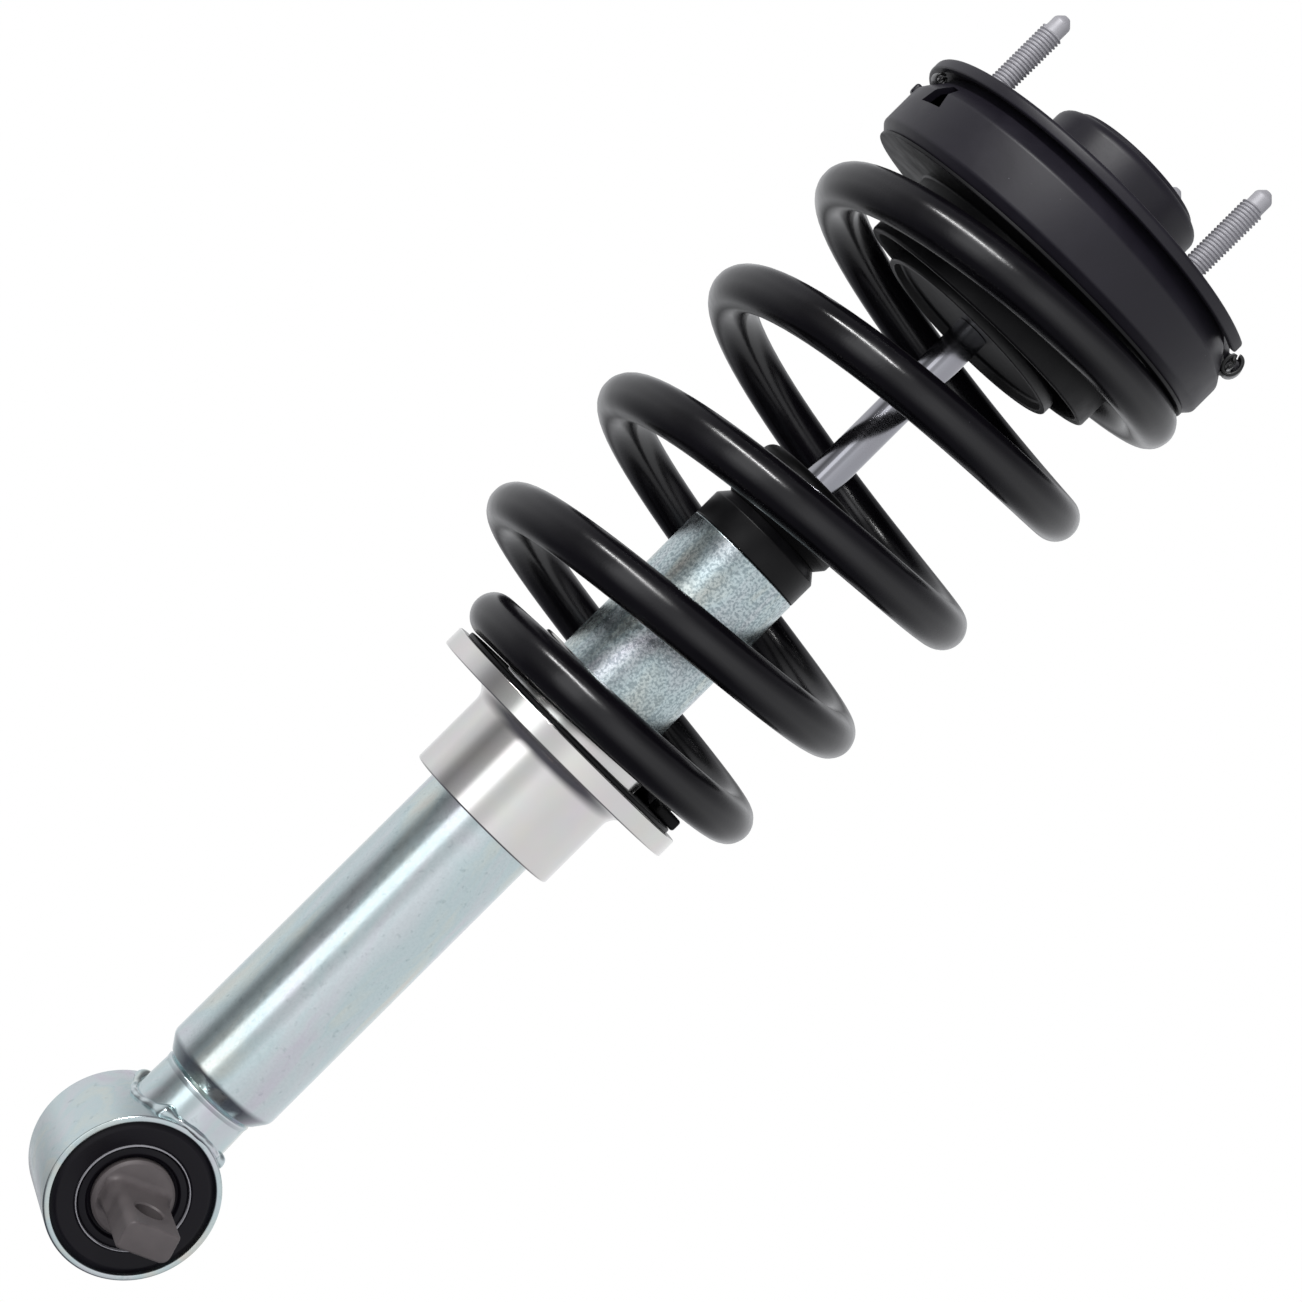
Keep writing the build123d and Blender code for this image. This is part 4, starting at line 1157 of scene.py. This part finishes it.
# %% [markdown]
# ## Camera
# The strut was seen from 1.25 m away, level with the lower third of the spring, turned a little
# to the left of the eye's open face, with a long lens. The camera is rolled so that the strut
# lies across the picture from lower left to upper right.
# %% Camera
AZIMUTH = -23.8
DISTANCE = 1.254
EYE_LEVEL = -0.2516
AIM_HEIGHT = -0.2360
ROLL = 45.17
LENS = 91.2
camera_place = Vector((sin(radians(AZIMUTH)) * DISTANCE, -cos(radians(AZIMUTH)) * DISTANCE, EYE_LEVEL))
forward = (Vector((0, 0, AIM_HEIGHT)) - camera_place).normalized()
level_right = forward.cross(Vector((0, 0, 1))).normalized()
level_up = level_right.cross(forward)
camera_right = cos(radians(ROLL)) * level_right + sin(radians(ROLL)) * level_up
camera_up = cos(radians(ROLL)) * level_up - sin(radians(ROLL)) * level_right
camera = bpy.data.objects.new("camera", bpy.data.cameras.new("camera"))
bpy.context.scene.collection.objects.link(camera)
camera.matrix_world = Matrix((
    (camera_right.x, camera_up.x, -forward.x, camera_place.x),
    (camera_right.y, camera_up.y, -forward.y, camera_place.y),
    (camera_right.z, camera_up.z, -forward.z, camera_place.z),
    (0, 0, 0, 1),
))
camera.data.lens = LENS
camera.data.sensor_width = 36
bpy.context.scene.camera = camera
print("camera", DISTANCE, "m away with a", LENS, "mm lens")

# %% [markdown]
# ## Studio
# Bare metal shows its surroundings more than itself, so the room matters as much as the finish.
# A round bar shows the whole room squeezed into its width: the middle shows what is behind the
# camera, the edges what is behind the strut. So the room is described as brightness round the
# horizon, in degrees to the right of the camera. A tall bright panel fills the angles from 40 to
# 22 degrees on the left, darker walls beyond it give the metal its contrast, and the other
# walls are pale, but for a dark gap straight behind the strut that darkens the rims of round
# parts. Ceiling and floor are dark grey, so that black paint stays black.
# %% Room
ROOM = (
    (-180, 0.25), (-170, 0.90), (-150, 0.72), (-112, 0.80), (-92, 0.62), (-80, 0.30), (-70, 0.20),
    (-56, 0.33), (-44, 0.42), (-40, 1.49), (-22, 1.49), (-17, 0.76), (-8, 0.62), (2, 0.68), (14, 0.92),
    (30, 0.82), (58, 0.74), (105, 0.74), (145, 0.78), (170, 0.92), (180, 0.25),
)
ROOM_TINT = Vector((0.985, 0.995, 1.02))
ROOM_STRENGTH = 1.52


def room():
    world = bpy.data.worlds.new("studio_room")
    bpy.context.scene.world = world
    world.use_nodes = True
    tree = world.node_tree
    tree.nodes.clear()
    way = add_node(tree, "ShaderNodeTexCoord").outputs["Generated"]
    camera_side = atan2(-cos(radians(AZIMUTH)), sin(radians(AZIMUTH)))
    turned = add_node(tree, "ShaderNodeMapping", {"Rotation": (0, 0, -camera_side)}, {"Vector": way})
    round_room = add_node(tree, "ShaderNodeTexGradient", {"gradient_type": "RADIAL"},
                          {"Vector": turned.outputs["Vector"]})
    walls = add_node(tree, "ShaderNodeValToRGB", links={"Fac": round_room.outputs["Fac"]})
    while len(walls.color_ramp.elements) < len(ROOM):
        walls.color_ramp.elements.new(0.5)
    for stop, (angle, brightness) in zip(walls.color_ramp.elements, ROOM):
        stop.position = (angle + 180) / 360
        stop.color = (*(ROOM_TINT * brightness / ROOM_STRENGTH), 1)
    height = add_node(tree, "ShaderNodeSeparateXYZ", links={"Vector": way}).outputs["Z"]
    above = add_node(tree, "ShaderNodeMapRange", {
        "From Min": 0.3, "From Max": 0.8, "To Min": 0, "To Max": 0.9}, {"Value": height})
    ceiling = add_node(tree, "ShaderNodeMixRGB", {"Color2": linear("#4c4c50")}, {
        "Fac": above.outputs["Result"], "Color1": walls.outputs["Color"]})
    below = add_node(tree, "ShaderNodeMapRange", {
        "From Min": -0.2, "From Max": -0.8, "To Min": 0, "To Max": 1}, {"Value": height})
    floor_glow = add_node(tree, "ShaderNodeMixRGB", {"Color2": linear("#404046")}, {
        "Fac": below.outputs["Result"], "Color1": ceiling.outputs["Color"]})
    light = add_node(tree, "ShaderNodeBackground", {"Strength": ROOM_STRENGTH}, {
        "Color": floor_glow.outputs["Color"]})
    add_node(tree, "ShaderNodeOutputWorld", links={"Surface": light.outputs["Background"]})


room()
print("room drawn with", len(ROOM), "stops")

# %% [markdown]
# One lamp stands in that room: a long, narrow softbox above and to the left, which draws a fine
# bright line along the wire and the round parts. The camera itself doesn't see it.
# %% Softbox
def softbox(name, angle, elevation, distance, width, height, power):
    """Area light at an angle to the right of the camera, aimed at the middle of the strut."""
    lamp = bpy.data.lights.new(name, "AREA")
    lamp.shape = "RECTANGLE"
    lamp.size = width
    lamp.size_y = height
    lamp.energy = power
    thing = bpy.data.objects.new(name, lamp)
    bpy.context.scene.collection.objects.link(thing)
    middle = Vector((0, 0, AIM_HEIGHT))
    heading = radians(AZIMUTH + angle)
    out = Vector((sin(heading) * cos(radians(elevation)), -cos(heading) * cos(radians(elevation)),
                  sin(radians(elevation))))
    thing.location = middle + out * distance
    thing.rotation_mode = "QUATERNION"
    thing.rotation_quaternion = out.to_track_quat("Z", "Y")
    thing.visible_camera = False
    print(name, "is", width, "by", height, "m,", distance, "m away")


softbox("long_box_above", -40, 34, 1.5, 1.1, 0.08, 13)

# %% [markdown]
# Floor and backdrop are plain white sheets that glow by themselves. Only the camera sees them:
# they cast no light and no shadow, and they don't show in the metal. A renderer also tries to use
# every glowing face as a lamp, which here would only add speckle, so that is switched off.
# %% Floor and backdrop
def white_sheet(name, size, place, turn):
    """Plain white sheet, square, that only the camera sees."""
    mesh = bpy.data.meshes.new(name)
    h = size / 2
    mesh.from_pydata([(-h, -h, 0), (h, -h, 0), (h, h, 0), (-h, h, 0)], [], [(0, 1, 2, 3)])
    material = bpy.data.materials.new(name)
    material.use_nodes = True
    tree = material.node_tree
    tree.nodes.clear()
    glow = add_node(tree, "ShaderNodeEmission", {"Color": (1, 1, 1, 1), "Strength": 1.0})
    add_node(tree, "ShaderNodeOutputMaterial", links={"Surface": glow.outputs["Emission"]})
    material.cycles.emission_sampling = "NONE"
    mesh.materials.append(material)
    sheet = bpy.data.objects.new(name, mesh)
    bpy.context.scene.collection.objects.link(sheet)
    sheet.location = place
    sheet.rotation_euler = turn
    sheet.visible_glossy = False
    sheet.visible_diffuse = False
    sheet.visible_shadow = False


white_sheet("floor", 12, (0, 0, cad_low[2] - 0.02), (0, 0, 0))
for side, (x, y) in enumerate(((6, 0), (-6, 0), (0, 6), (0, -6))):
    white_sheet(f"backdrop_{side}", 24, (x, y, 0), (pi / 2, 0, pi / 2 if y == 0 else 0))
bpy.context.scene.view_settings.view_transform = "Standard"
print("floor", round(0.02 - cad_low[2], 3), "m below the plate")
